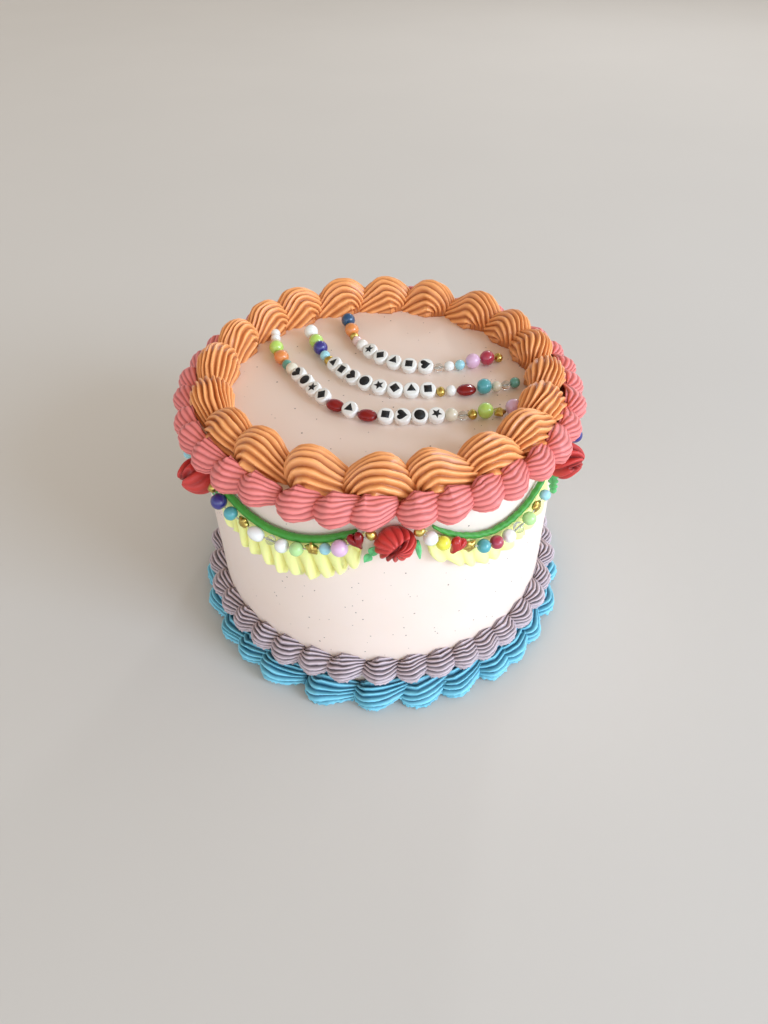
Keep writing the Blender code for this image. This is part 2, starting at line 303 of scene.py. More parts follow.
@dataclass(frozen=True)
class SmoothIcing(Finish):
    """Buttercream spread on the block and scraped smooth: satin, with fine vanilla specks.

    The scraper leaves faint level lines, and specks of vanilla seed lie well apart.

    Attributes:
        colour: Of the icing.
        warm: Its colour where it lies thicker.
        speck: Colour of the specks.
    """

    colour: str
    warm: str
    speck: str

    # Size of the thicker patches, and of the scraper's lines, their depth and how much
    # longer than high they are
    PATCH = 30.0
    LINE = 22.0
    LINE_DEPTH = 0.15
    LINE_STRETCH = 14.0
    # Distance between specks, the largest one's radius, how far their outlines are bent,
    # the share of the places that is bare, and how much of the icing a speck covers
    SPECK_SPACING = 3.4
    SPECK_SIZE = 0.42
    SPECK_BEND = 0.35
    SPECKLESS = 0.45
    SPECK_COVER = 0.7

    def dress(self, nodes: Nodes) -> None:
        """Sets up the icing.

        Args:
            nodes: The material's nodes.
        """
        patches = nodes.cloud(self.PATCH, 3.0)
        level = nodes.add("Mapping", {
            "Vector": nodes.place, "Scale": (1.0, 1.0, self.LINE_STRETCH)}).outputs[0]
        ground = nodes.blend(patches, linear(self.colour), linear(self.warm))
        nodes.shade({
            "Base Color": nodes.blend(self.specks(nodes), ground, linear(self.speck)),
            "Normal": nodes.relief(nodes.cloud(self.LINE, 4.0, level), 0.25, self.LINE_DEPTH),
            "Roughness": nodes.spread(patches, 0.4, 0.52),
            "IOR": 1.46, "Subsurface Weight": 0.1,
            "Subsurface Radius": (1.0, 0.7, 0.5), "Subsurface Scale": 3.0 * MM})

    def specks(self, nodes: Nodes) -> Socket:
        """Scatters the specks.

        Args:
            nodes: The material's nodes.

        Returns:
            How much of the icing a speck covers at a place.
        """
        bent = nodes.add("TexNoise", {"Vector": nodes.place, "Scale": per_metre(0.5)})
        nudged = nodes.add("VectorMath", {
            0: bent.outputs["Color"], 1: (self.SPECK_BEND * MM,) * 3, 2: nodes.place},
            operation="MULTIPLY_ADD")
        cells = nodes.add("TexVoronoi", {
            "Vector": nudged.outputs[0], "Scale": per_metre(self.SPECK_SPACING)}).outputs
        chance = nodes.add("SeparateColor", {"Color": cells["Color"]}).outputs
        most = self.SPECK_SIZE / self.SPECK_SPACING
        size = nodes.spread(chance[0], most * 0.4, most)
        inside = nodes.reckon("LESS_THAN", cells["Distance"], size)
        some = nodes.reckon("GREATER_THAN", chance[1], self.SPECKLESS)
        return nodes.reckon("MULTIPLY", nodes.reckon("MULTIPLY", inside, some), self.SPECK_COVER)


class BeadMake(Enum):
    """What a bead is made of.

    The values are its roughness, how much of it has a clear coat, and how much of the light
    goes through.
    """

    # Moulded acrylic, opaque and glossy
    ACRYLIC = (0.16, 0.3, 0.0)
    # Acrylic under pearl lacquer, with a soft sheen
    PEARL = (0.3, 0.8, 0.0)
    # Cast acrylic, tinted through and partly clear
    TINTED = (0.1, 0.0, 0.35)
    # Clear acrylic
    CLEAR = (0.04, 0.0, 0.92)
    # Vacuum-plated plastic, a bright gold
    PLATED = (0.28, 0.0, 0.0)
    # Pad-printed ink, flat
    PRINTED = (0.6, 0.0, 0.0)


@dataclass(frozen=True)
class BeadFinish(Finish):
    """One colour of bead, slightly clouded as cast beads are."""

    colour: str
    make: BeadMake

    CLOUD = 3.0

    def dress(self, nodes: Nodes) -> None:
        """Sets up the bead.

        Args:
            nodes: The material's nodes.
        """
        plated = self.make is BeadMake.PLATED
        roughness, coat, clear = self.make.value
        cloud = nodes.cloud(self.CLOUD)
        nodes.shade({
            "Base Color": nodes.blend(cloud, linear(self.colour),
                                      linear(self.colour, 0.72 if plated else 0.88)),
            "Roughness": nodes.spread(cloud, roughness * 0.8, roughness * 1.3),
            "Coat Weight": coat, "Coat Roughness": 0.08, "Transmission Weight": clear,
            **({"Metallic": 1.0} if plated else {"IOR": 1.49})})


@dataclass(frozen=True)
class FloorBoard(Finish):
    """A wide matt painted board, a little cloudy where the roller went twice."""

    colour: str

    def dress(self, nodes: Nodes) -> None:
        """Sets up the paint."""
        colour = nodes.blend(nodes.cloud(240.0), linear(self.colour), linear(self.colour, 0.95))
        nodes.shade({"Base Color": colour, "Roughness": 0.7, "Specular IOR Level": 0.1})


# The second colour of each piped icing is painted shade for its grooves, folds and clefts
ORANGE = Buttercream("orange_buttercream", "#FFB270", "#AC5A26", roughness=0.33)
CORAL = Buttercream("coral_buttercream", "#F28A84", "#953630")
MAUVE = Buttercream("mauve_buttercream", "#D6C4CA", "#33242A")
TURQUOISE = Buttercream("turquoise_buttercream", "#86D8EE", "#0B5270")
GREEN = Buttercream("green_buttercream", "#489F3C", "#1C581B")
YELLOW = Buttercream("yellow_buttercream", "#FBFCA8", "#E6DE7C", glow=0.3)
RED = Buttercream("red_buttercream", "#D2403A", "#5C0E0C")
LEAF = Buttercream("leaf_green_buttercream", "#72D188", "#35904F")
BLUSH = SmoothIcing("blush_scraped_buttercream", "#F4E2D6", "#F0DACB", "#5B4438")
FLOOR = FloorBoard("matt_pale_board", "#DAD7D2")

BEAD_FINISHES = {
    name: BeadFinish(f"{name}_{make.name.lower()}", colour, make)
    for name, colour, make in (
        ("white", "#F5F5F0", BeadMake.ACRYLIC),
        ("pearl", "#F1EBE2", BeadMake.PEARL),
        ("cream", "#E6DFC8", BeadMake.PEARL),
        ("blush", "#EFCFC8", BeadMake.PEARL),
        ("pink", "#E8BEDD", BeadMake.PEARL),
        ("crimson", "#B5304A", BeadMake.PEARL),
        ("red", "#A3191D", BeadMake.TINTED),
        ("scarlet", "#DE3A38", BeadMake.TINTED),
        ("orange", "#E98F4C", BeadMake.PEARL),
        ("yellow", "#F3EC4C", BeadMake.ACRYLIC),
        ("lime", "#BEE26A", BeadMake.PEARL),
        ("palegreen", "#BCE79A", BeadMake.ACRYLIC),
        ("sea", "#5F9F8D", BeadMake.PEARL),
        ("teal", "#4FABB2", BeadMake.PEARL),
        ("aqua", "#A5DDE6", BeadMake.ACRYLIC),
        ("deepblue", "#174C74", BeadMake.PEARL),
        ("indigo", "#2E2A82", BeadMake.PEARL),
        ("gold", "#D9BC66", BeadMake.PLATED),
        ("clear", "#F2F2EC", BeadMake.CLEAR),
        ("black", "#0C0C0C", BeadMake.PRINTED),
        ("thread", "#E9E6DF", BeadMake.TINTED),
    )
}


# Making pieces


@functools.cache
def ball(points_around: int, points_along: int) -> bpy.types.Mesh:
    """Makes the plain ball that a moulded form starts from, once for each fineness.

    Args:
        points_around: Points round it.
        points_along: Stations from pole to pole.

    Returns:
        The ball's mesh.
    """
    shape = bmesh.new()
    bmesh.ops.create_uvsphere(
        shape, u_segments=points_around, v_segments=points_along, radius=1.0)
    mesh = bpy.data.meshes.new("ball")
    shape.to_mesh(mesh)
    shape.free()
    return mesh


def mould(shape: BMesh, points_around: int, points_along: int,
          surface: Surface) -> Verts:
    """Adds a ball to a bmesh and presses it into a long form.

    Args:
        shape: The bmesh that it goes into.
        points_around: Points round the form's section.
        points_along: Stations along the form, pole to pole.
        surface: Gives the place in millimetres, and how much painted groove shade it gets, from
            0 to 1.

    Returns:
        The new vertices.
    """
    before = len(shape.verts)
    shape.from_mesh(ball(points_around, points_along))
    layers = shape.verts.layers.float
    groove = layers.get("groove") or layers.new("groove")
    shape.verts.ensure_lookup_table()
    verts = shape.verts[before:]
    for vert in verts:
        turn = math.atan2(vert.co.y, vert.co.x) / TAU % 1.0
        travel = math.acos(min(max(vert.co.z, -1.0), 1.0)) / math.pi
        place, depth = surface(turn, travel)
        vert.co = place * MM
        # How much painted shade the point gets
        vert[groove] = depth
    return verts


def closed_ends(travel: float, stations: int) -> float:
    """1 along a moulded form, and 0 at its two poles, so that both ends shut flat."""
    return min(1.0, travel * stations, (1 - travel) * stations)


def add_piece(name: str, node: str, shape: BMesh,
              finishes: list[Finish]) -> None:
    """Finishes a piece of the cake and puts it in the place of its solid.

    Args:
        name: The piece's name.
        node: The solid that it stands for.
        shape: Its mesh, in metres, which is freed.
        finishes: Its finishes, in the order of the faces' material numbers.
    """
    bmesh.ops.recalc_face_normals(shape, faces=shape.faces)
    mesh = bpy.data.meshes.new(name)
    shape.to_mesh(mesh)
    shape.free()
    mesh.shade_smooth()
    for finish in finishes:
        mesh.materials.append(finish.material())
    piece = bpy.data.objects.new(name, mesh)
    bpy.context.scene.collection.objects.link(piece)
    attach(piece, "root")
    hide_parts(node)
    log.info("%s: %d faces", name, len(mesh.polygons))


def add_moulded(name: str, node: str, finish: Buttercream, points: tuple[int, int],
                surface: Surface) -> None:
    """Adds a piece that is one moulded form.

    Args:
        name: The piece's name.
        node: The solid that it stands for.
        finish: Its icing.
        points: Points round its section, and stations along it.
        surface: What presses it into shape.
    """
    shape = bmesh.new()
    mould(shape, *points, surface)
    add_piece(name, node, shape, [finish])


# The iced block


@dataclass
class IcedBlock:
    """The block of cake under its smooth icing.

    Attributes:
        radius: Of the block.
        height: Of its top.
        edge_round: Radius of its top edge.
        edge_steps: Faces across that edge.
        sides: Faces round it.
        rows: Level cuts in its side.
        unevenness: Depth of the scraper's waves.
        waves: How many waves there are in a metre, round it and upwards.
    """

    radius: float = CAKE_RADIUS
    height: float = CAKE_HEIGHT
    edge_round: float = 2.0
    edge_steps: int = 5
    sides: int = 180
    rows: int = 30
    unevenness: float = 0.14
    waves: tuple[float, float] = (18.0, 60.0)

    def build(self) -> None:
        """Turns the block, rounds its top edge and leaves the scraper's slight waves in it."""
        shape = bmesh.new()
        bmesh.ops.create_cone(
            shape, cap_ends=True, segments=self.sides, radius1=self.radius * MM,
            radius2=self.radius * MM, depth=self.height * MM)
        bmesh.ops.translate(shape, verts=shape.verts, vec=(0, 0, self.height / 2 * MM))
        uprights = [
            edge for edge in shape.edges
            if abs(edge.verts[0].co.z - edge.verts[1].co.z) > self.height / 2 * MM]
        bmesh.ops.subdivide_edges(shape, edges=uprights, cuts=self.rows)
        rim = [
            edge for edge in shape.edges
            if all(vert.co.z > (self.height - 1) * MM for vert in edge.verts)]
        bmesh.ops.bevel(
            shape, geom=rim, offset=self.edge_round * MM, offset_type="OFFSET",
            segments=self.edge_steps, profile=0.5, affect="EDGES", material=-1)
        level, upward = self.waves
        for vert in shape.verts:
            if self.edge_round < vert.co.z / MM < self.height - self.edge_round:
                wave = noise.noise(
                    Vector((vert.co.x * level, vert.co.y * level, vert.co.z * upward)))
                reach = 1 - self.unevenness * (0.5 + 0.5 * wave) / self.radius
                vert.co.x *= reach
                vert.co.y *= reach
        add_piece("iced_block", "cake_body", shape, [BLUSH])


# Piped borders


@dataclass(frozen=True)
class Hand:
    """What the piper's hand did at one shell.

    Attributes:
        step: Degrees from this shell's head to the next one's.
        rake: How far the dome leans over its tail, beside its height.
        yaw: Degrees that its head turns out from the border's line.
        lean: How far the dome leans outwards or down, beside its height.
    """

    step: float
    rake: float = 0.0
    yaw: float = 0.0
    lean: float = 0.0


@dataclass
class Squeeze:
    """One shell of a border, as the hand made it: no two are quite alike.

    Attributes:
        hand: What the hand did.
        start: The angle of its head, in radians.
        scale: Its size, beside the border's.
        bend: How far it folds over, in radians.
        drift: How far the tail strays sideways, beside half the shell's width.
        twist: How far the ridges turn about the shell, in radians.
        shallow: Depth of its grooves, beside the border's.
        grain: Where its own unevenness is looked up.
    """

    hand: Hand
    start: float
    scale: float
    bend: float
    drift: float
    twist: float
    shallow: float
    grain: Vector


@dataclass(frozen=True)
class Section:
    """Where a shell's section stands at a share of the way along the shell.

    Attributes:
        along: Of its foot, forward along the border.
        above: Of its foot, over the line that the border stands on.
        swing: Its turn about the foot, in radians.
        size: How far it reaches from its foot, beside the head.
        width: Beside the head's.
        folded: Share of the fold behind it.
        trailed: Share of the tail behind it.
    """

    along: float
    above: float
    swing: float
    size: float
    width: float
    folded: float
    trailed: float


@dataclass
class ShellBorder:
    """A ring of shells piped anticlockwise with a star tip.

    Each shell is one squeeze. It swells forward and up over the tail before it, folds back
    round a hook low in its head, so that its ridges nest there, and is drawn down to a tail.

    Attributes:
        name: The piece.
        node: The solid that it stands for.
        slot: The record's material slot, which is not used.
        finish: The icing.
        shells: How many go round.
        first: Where the first one starts, in degrees.
        radius: Of the line that the shells stand on.
        height: Of that line.
        face: The way their crests point: 90 degrees is up and 0 straight out.
        half_width: Half of a shell's width.
        reach: From the hook to the crest.
        tail: How far the tail runs behind the hook.
        bend: Least and most turn of the fold, in degrees.
        ridges: How many show.
        depth: Of the grooves between them.
        narrow: Power of the ridges' curve: below 1 the grooves are narrow, above 1 wide.
        torn: How ragged the icing's lower edge is.
        seed: For the hand's unevenness.
        stations: Points along a shell.
        hook: The hook's height over the line.
        tail_size: The tail's size at its end, beside the head's.
        pinch: The width that the head starts with, beside its full width.
        bud: The size that the head starts with, beside its full size.
        stride: How far its foot moves forward in the fold, beside the reach.
        drift: How far the tail moves outwards or down.
        lean: How far the domes lean outwards or down, beside their height.
        boxiness: Power of the section's curve: 1 is round, and less is squarer.
        ridge_points: Points across one ridge.
        hands: How each shell was piped, where the photograph shows that of all.
        paces: Degrees from shell to shell, as far as the photograph shows them.
    """

    name: str
    node: str
    slot: str
    finish: Buttercream
    shells: int
    first: float
    radius: float
    height: float
    face: float
    half_width: float
    reach: float
    tail: float
    bend: tuple[float, float]
    ridges: int
    depth: float
    narrow: float
    torn: float
    seed: int
    stations: int
    hook: float = 1.0
    tail_size: float = 0.46
    pinch: float = 0.5
    bud: float = 0.6
    stride: float = 0.3
    drift: float = 0.0
    lean: float = 0.0
    boxiness: float = 0.95
    ridge_points: int = 6
    hands: tuple[Hand, ...] = ()
    paces: tuple[float, ...] = ()

    # Shares of a shell's length: the rise to the hook, and the fold round it
    LIFT = 0.09
    FOLD = 0.60
    # Points down each side from the hook's height to the foot, and how much painted shade those
    # get
    SKIRT = 3
    SKIRT_SHADE = 0.45
    # How much painted shade lies in the cleft between two shells
    CLEFT_SHADE = 0.85
    # How far a ridge wanders sideways, in radians of the section
    WANDER = 0.20
    # Share of a groove's depth that comes and goes
    CUT_UNEVENNESS = 0.7
    # Sizes of the icing's unevenness and its heights, from lumps to grain
    GRAINS = ((6.5, 0.5), (2.4, 0.12), (0.9, 0.06))
    # Bounds of what differs from shell to shell: step, rake, yaw and lean of the hand
    STEPS = (-0.12, 0.12)
    RAKES = (-0.1, 0.3)
    YAWS = (-5, 5)
    LEANS = (-0.12, 0.12)

    def build(self) -> None:
        """Pipes the whole ring."""
        shape = bmesh.new()
        draw = random.Random(self.seed)
        start = self.first
        for hand in self.hands or self.draw_hands(draw):
            squeeze = self.draw_squeeze(start, hand, draw)
            start += hand.step
            mould(shape, self.ridges * self.ridge_points + 2 * self.SKIRT + 1, self.stations,
                  functools.partial(self.surface, squeeze))
        add_piece(self.name, self.node, shape, [self.finish])

    def draw_hands(self, draw: random.Random) -> list[Hand]:
        """Draws how each shell is piped, so that together they go just once round.

        Args:
            draw: The seeded source of chance.

        Returns:
            The hand at each shell.
        """
        unseen = self.shells - len(self.paces)
        paces = [1 + draw.uniform(*self.STEPS) for _ in range(unseen)]
        left = (360 - sum(self.paces)) / sum(paces)
        return [
            Hand(step, draw.uniform(*self.RAKES), draw.uniform(*self.YAWS),
                 self.lean + draw.uniform(*self.LEANS))
            for step in (*self.paces, *(pace * left for pace in paces))]

    def draw_squeeze(self, start: float, hand: Hand, draw: random.Random) -> Squeeze:
        """Draws how one shell differs from the rest.

        Args:
            start: The angle of its head, in degrees.
            hand: How it was piped.
            draw: The seeded source of chance.

        Returns:
            The shell.
        """
        facing = math.radians(start)
        return Squeeze(
            hand=hand, start=facing, scale=draw.uniform(0.92, 1.0),
            bend=math.radians(draw.uniform(*self.bend)), drift=draw.uniform(-0.1, 0.1),
            twist=-0.45 * math.sin(facing) + draw.uniform(-0.2, 0.2),
            shallow=draw.uniform(0.8, 1.0),
            grain=Vector([draw.uniform(-50, 50) for _ in range(3)]))

    def surface(self, squeeze: Squeeze, turn: float, travel: float) -> tuple[Vector, float]:
        """Where a point of a shell lies.

        Args:
            squeeze: The shell.
            turn: Share of the way round its section, from its outer or lower side.
            travel: Share of the way from its start to the end of its tail.

        Returns:
            The place in millimetres, and how much painted shade it gets in the grooves and in
            the clefts between shells.
        """
        at = self.sweep(squeeze, travel)
        angle, groove, cut, drop = self.go_round(squeeze, turn, travel)
        wander = noise.noise(Vector((travel * 3.5, angle * 1.3, squeeze.grain.x)))
        wander += 0.12 * noise.noise(Vector((travel * 11, angle * 2, squeeze.grain.x)))
        # Both ease to a stop where the fold meets the tail, so that the ridges run smoothly on
        turned = math.sin(at.folded * math.pi / 2) - 0.5
        settled = at.trailed ** 2
        angle += math.sin(angle) * (squeeze.twist * turned + self.WANDER * wander)
        size = at.size * squeeze.scale
        cut *= size * smooth_step(travel * 9) * (1 - 0.35 * at.trailed)
        ends = closed_ends(travel, self.stations)
        level = math.cos(angle)
        across = (self.half_width * squeeze.scale * at.width - cut) * math.copysign(
            abs(level) ** self.boxiness, level) * ends
        out = (self.reach * size - cut) * max(math.sin(angle), 0.0) ** self.boxiness * ends
        ragged = self.torn * (1 - groove) * mix(0.2, 1.0, smooth_step(1.5 * level))
        swell = self.swell(squeeze, Vector((across, out, travel * 40)), ragged)
        across *= swell
        out *= swell
        across += (self.drift + squeeze.drift * self.half_width) * settled
        across += squeeze.hand.lean * out * (1 - settled)
        above = at.above + out * math.sin(at.swing)
        along = at.along - out * math.cos(at.swing)
        along += squeeze.hand.rake * max(above - self.hook, 0.0)
        along -= drop * (1 - at.folded)
        above -= drop * max(at.above, 0.0)
        # The start and the end of a shell lie in the cleft between two, which gets painted shade
        painted_cleft_shade = max(1 - smooth_step(travel / self.LIFT - 0.6), smooth_step(at.trailed * 4 - 3))
        return self.on_ring(squeeze, along, across, above), max(groove, self.CLEFT_SHADE * painted_cleft_shade)

    def go_round(self, squeeze: Squeeze, turn: float,
                 travel: float) -> tuple[float, float, float, float]:
        """Finds the place of a point on the outline of a shell's section.

        Args:
            squeeze: The shell.
            turn: Share of the way round.
            travel: Share of the way along.

        Returns:
            The angle on the ridged side, how deep in a groove it lies from 0 to 1 and so how
            much painted shade it gets, that groove's depth where the shell is full, and the
            share of the way down to the foot.
        """
        shown = self.ridges * self.ridge_points
        past = turn * (shown + 2 * self.SKIRT + 1) - shown
        angle = math.pi * min(1 + past / shown, 1.0)
        uneven = noise.noise(Vector((angle * self.ridges / 2, travel * 4, squeeze.grain.y)))
        groove = 1 - abs(math.sin(angle * self.ridges)) ** self.narrow
        drop = 0.0
        if past > 0.5:
            # Down the skirt the icing gets an even painted shade
            groove = self.SKIRT_SHADE
            inner_side = past < self.SKIRT + 0.5
            angle = math.pi if inner_side else 0.0
            drop = (past if inner_side else 2 * self.SKIRT + 1 - past) / self.SKIRT
        cut = self.depth * squeeze.shallow * groove * (1 + self.CUT_UNEVENNESS * uneven)
        return angle, groove, cut, drop

    def swell(self, squeeze: Squeeze, place: Vector, ragged: float) -> float:
        """Finds how far the icing's own unevenness moves a point out.

        Args:
            squeeze: The shell.
            place: The point's place across, out from and along the shell.
            ragged: How ragged the icing is there, in millimetres.

        Returns:
            The share that it moves out from the middle of the section, where 1 is none.
        """
        grain = place + squeeze.grain
        fine = sum(noise.noise(grain / size) * height for size, height in self.GRAINS)
        fine += ragged * max(0.0, noise.noise(grain / 0.8 + squeeze.grain))
        return 1 + fine / max(math.hypot(place.x, place.y), 3.0)

    def sweep(self, squeeze: Squeeze, travel: float) -> Section:
        """Finds the section of a shell at a share of the way along it.

        Args:
            squeeze: The shell.
            travel: Share of the way along.

        Returns:
            The section.
        """
        if travel < self.LIFT:
            return Section(-self.stride * self.reach, mix(-1.0, self.hook, travel / self.LIFT),
                           0.0, self.bud, self.pinch, 0.0, 0.0)
        if travel < self.FOLD:
            share = (travel - self.LIFT) / (self.FOLD - self.LIFT)
            swing = share * squeeze.bend
            swell = math.sin(min(swing, math.pi / 2))
            return Section(-self.stride * self.reach * (1 - swell), self.hook, swing,
                           mix(self.bud, 1.0, swell), mix(self.pinch, 1.0, swell), share, 0.0)
        share = (travel - self.FOLD) / (1 - self.FOLD)
        slide = share * self.tail
        slope = squeeze.bend - math.pi / 2
        size = 1 - (1 - self.tail_size) * share ** 1.35
        return Section(slide * math.cos(slope), self.hook - slide * math.sin(slope),
                       squeeze.bend, size, size, 1.0, share)

    def on_ring(self, squeeze: Squeeze, along: float, across: float, above: float) -> Vector:
        """Bends a shell's own place round the cake.

        Args:
            squeeze: The shell.
            along: Forward along the border, in millimetres.
            across: Outwards, or down where the crests point out.
            above: Out from the line that the border stands on.

        Returns:
            The place in millimetres.
        """
        yaw = math.radians(squeeze.hand.yaw)
        turned_along = along * math.cos(yaw) + across * math.sin(yaw)
        across = across * math.cos(yaw) - along * math.sin(yaw)
        face = math.radians(self.face)
        radius = self.radius + across * math.sin(face) + above * math.cos(face)
        height = self.height - across * math.cos(face) + above * math.sin(face)
        middle = self.radius + self.reach / 2 * math.cos(face)
        return around(min(radius, OUTERMOST), squeeze.start + turned_along / middle,
                      min(max(height, 0.0), TOPMOST))


# The shells of the top border, anticlockwise from the front left
TOP_HANDS = (
    Hand(21, 0.1, 7, -0.3), Hand(18, -0.15, 7, -0.3), Hand(18, 0.35, 0, -0.15),
    Hand(17, 0.0, -4, -0.2), Hand(17, 0.3, -8, -0.1), Hand(18, 0.35, -14, -0.15),
    Hand(19, 0.15, -12, -0.1), Hand(18, 0.0, -10), Hand(16, 0.0, -8, 0.1),
    Hand(17, 0.0, -8, 0.15), Hand(20, 0.1, -5, 0.2), Hand(17, 0.2, 0, 0.3),
    Hand(18, 0.25, 4, 0.3), Hand(18, 0.1, 4, 0.25), Hand(15, 0.2, 5, 0.25),
    Hand(18, 0.1, 4, 0.2), Hand(18, 0.0, 2, 0.1), Hand(20, 0.1), Hand(20, 0.2, 2),
    Hand(17, 0.3, 6, -0.1),
)

# The four borders, from the top down
BORDERS = (
    ShellBorder(
        name="orange_shells", node="top_border", slot="orange_icing", finish=ORANGE,
        shells=20, first=-131.4, radius=71.2, height=CAKE_HEIGHT, face=90.0, half_width=9.9,
        reach=12.0, hook=2.6, tail=18.5, tail_size=0.56, pinch=0.74, bud=0.85, stride=0.14,
        drift=0.8, bend=(102, 116), ridges=12, ridge_points=8, depth=2.0, narrow=1.5,
        torn=0.15, seed=11, stations=48, hands=TOP_HANDS),
    ShellBorder(
        name="coral_shells", node="collar_border", slot="coral_icing", finish=CORAL,
        shells=36, first=-134.8, radius=CAKE_RADIUS, height=113.3, face=6.0, half_width=7.2,
        reach=8.0, tail=12.5, bend=(98, 110), lean=0.16, ridges=9, depth=0.95, narrow=0.7,
        torn=0.2, seed=12, stations=45,
        paces=(9.7, 13.1, 10.0, 8.7, 12.1, 8.6, 9.2, 9.1, 10.7, 10.2)),
    ShellBorder(
        name="mauve_shells", node="base_border_upper", slot="mauve_icing", finish=MAUVE,
        shells=38, first=-151.2, radius=CAKE_RADIUS, height=19.2, face=2.0, half_width=7.5,
        reach=8.2, tail=11.5, drift=0.3, bend=(98, 110), lean=0.08, boxiness=1.0, ridges=10,
        depth=1.5, narrow=1.8, torn=1.4, seed=13, stations=39,
        paces=(9.8, 9.7, 8.5, 10.1, 10.3, 11.2, 9.6, 8.8, 8.5, 7.6, 7.6)),
    ShellBorder(
        name="turquoise_shells", node="base_border_lower", slot="turquoise_icing",
        finish=TURQUOISE, shells=26, first=-148.9, radius=82.0, height=4.9, face=8.0,
        half_width=7.2, reach=9.6, hook=1.2, tail=18.0, tail_size=0.5, pinch=0.6,
        bend=(96, 106), lean=0.14, boxiness=0.88, ridges=8, ridge_points=9, depth=1.8,
        narrow=1.9, torn=2.2, seed=14, stations=46,
        paces=(11.1, 11.1, 17.7, 15.2, 13.3, 12.8, 13.7, 7.9, 10.9)),
)


# Swags


class LeafShape(Enum):
    """How a leaf was piped.

    The values are its notches, how deep they are, its width beside the solid's, how far it
    leans beside the solid, how far it lies nearer to the rosette and higher, in mm, and how
    far its outer edge stands off the side, in degrees.
    """

    DROPS = (2.0, 0.72, 1.0, 1.2, 2.2, 1.5, 0)
    STRIP = (1.0, 0.15, 0.5, 0.2, 0.8, 3.5, 0)
    ZIGZAG = (4.0, 0.45, 1.1, 1.0, 4.4, -0.5, 70)


@dataclass(frozen=True)
class SwagStyle:
    """One of the two ways that a swag was made.

    Attributes:
        rope_sag: How far the rope's middle hangs below its ends.
        rope_size: The rope's thickness, beside its tip's.
        shake: How much the hand shook as it piped the rope, from 0 to 1.
        petals: How many the ruffle has.
        slant: How many petals they slant by, from top to hem.
        deep: How much they wave, from 0 to 1.
        short_start: How much shorter the first petals are.
        leaves: The leaves by its rosette, to the left and to the right.
        beads: Kind and colour of each bead in order, such as large:lime.
        string_sag: How far the string of beads hangs below its ends.
        string_span: Shares of the way where the string starts and ends: a leaf covers one end.
    """

    rope_sag: float
    rope_size: float
    shake: float
    petals: int
    slant: float
    deep: float
    short_start: float
    leaves: tuple[LeafShape, LeafShape]
    beads: str
    string_sag: float
    string_span: tuple[float, float]


# The two styles take turns round the cake, and the first is the one at the front right
SWAG_STYLES = (
    SwagStyle(
        rope_sag=13.2, rope_size=0.8, shake=1.0, petals=10, slant=0.3, deep=0.5,
        short_start=0.0, leaves=(LeafShape.DROPS, LeafShape.STRIP),
        beads="nugget:gold round:white round:yellow upright:scarlet star:gold round:teal"
              " round:crimson round:white small:clear round:palegreen star:gold small:aqua",
        string_sag=16.4, string_span=(-0.035, 0.87)),
    SwagStyle(
        rope_sag=9.6, rope_size=0.95, shake=0.3, petals=11, slant=0.9, deep=1.0,
        short_start=5.5, leaves=(LeafShape.ZIGZAG, LeafShape.DROPS),
        beads="nugget:gold large:indigo round:teal star:gold oval:white seed:clear"
              " round:white round:palegreen star:gold small:aqua large:pink upright:red"
              " nugget:gold",
        string_sag=12.4, string_span=(0.03, 1.035)),
)


@dataclass(frozen=True)
class Swag:
    """One swag: rope, ruffle, rosette, two leaves and a string of beads.

    Attributes:
        number: Counted anticlockwise, from 0 at the front right.
    """

    number: int

    # Height of the string's ends, its standoff, and its clearance to a rosette's middle
    STRING_HEIGHT = 104.6
    STRING_STANDOFF = 2.7
    STRING_CLEARANCE = math.radians(6.4)

    @property
    def style(self) -> SwagStyle:
        """The way that it was made."""
        return SWAG_STYLES[self.number % 2]

    @property
    def start(self) -> float:
        """The angle of its rosette."""
        return FIRST_ROSETTE + sum(SWAG_ANGLES[:self.number])

    def angle(self, clearance: float, share: float) -> float:
        """The angle at a share of the way along, clear of the rosettes at both ends."""
        return self.start + clearance + share * (SWAG_ANGLES[self.number] - 2 * clearance)

    def build(self) -> None:
        """Makes the swag's pieces."""
        rope = Rope(self)
        rope.build()
        Ruffle(self, rope).build()
        Rosette(self).build()
        for place, form in enumerate(self.style.leaves):
            Leaf(self, 2 * place - 1, 2 * self.number + 1 + place, form).build()
        BeadString(f"swag_beads_{self.number + 1}", f"swag_bead_string_{self.number + 1}",
                   self.style.beads, self.string_path,
                   lambda place: Vector((place.x, place.y, 0)).normalized()).build()

    def string_path(self, share: float) -> Vector:
        """Leads the string of beads from rosette to rosette.

        Args:
            share: Share of the way along it.

        Returns:
            The place of its thread's foot.
        """
        share = mix(*self.style.string_span, share)
        return around(WALL + self.STRING_STANDOFF, self.angle(self.STRING_CLEARANCE, share),
                      hang(self.STRING_HEIGHT, self.style.string_sag, share))


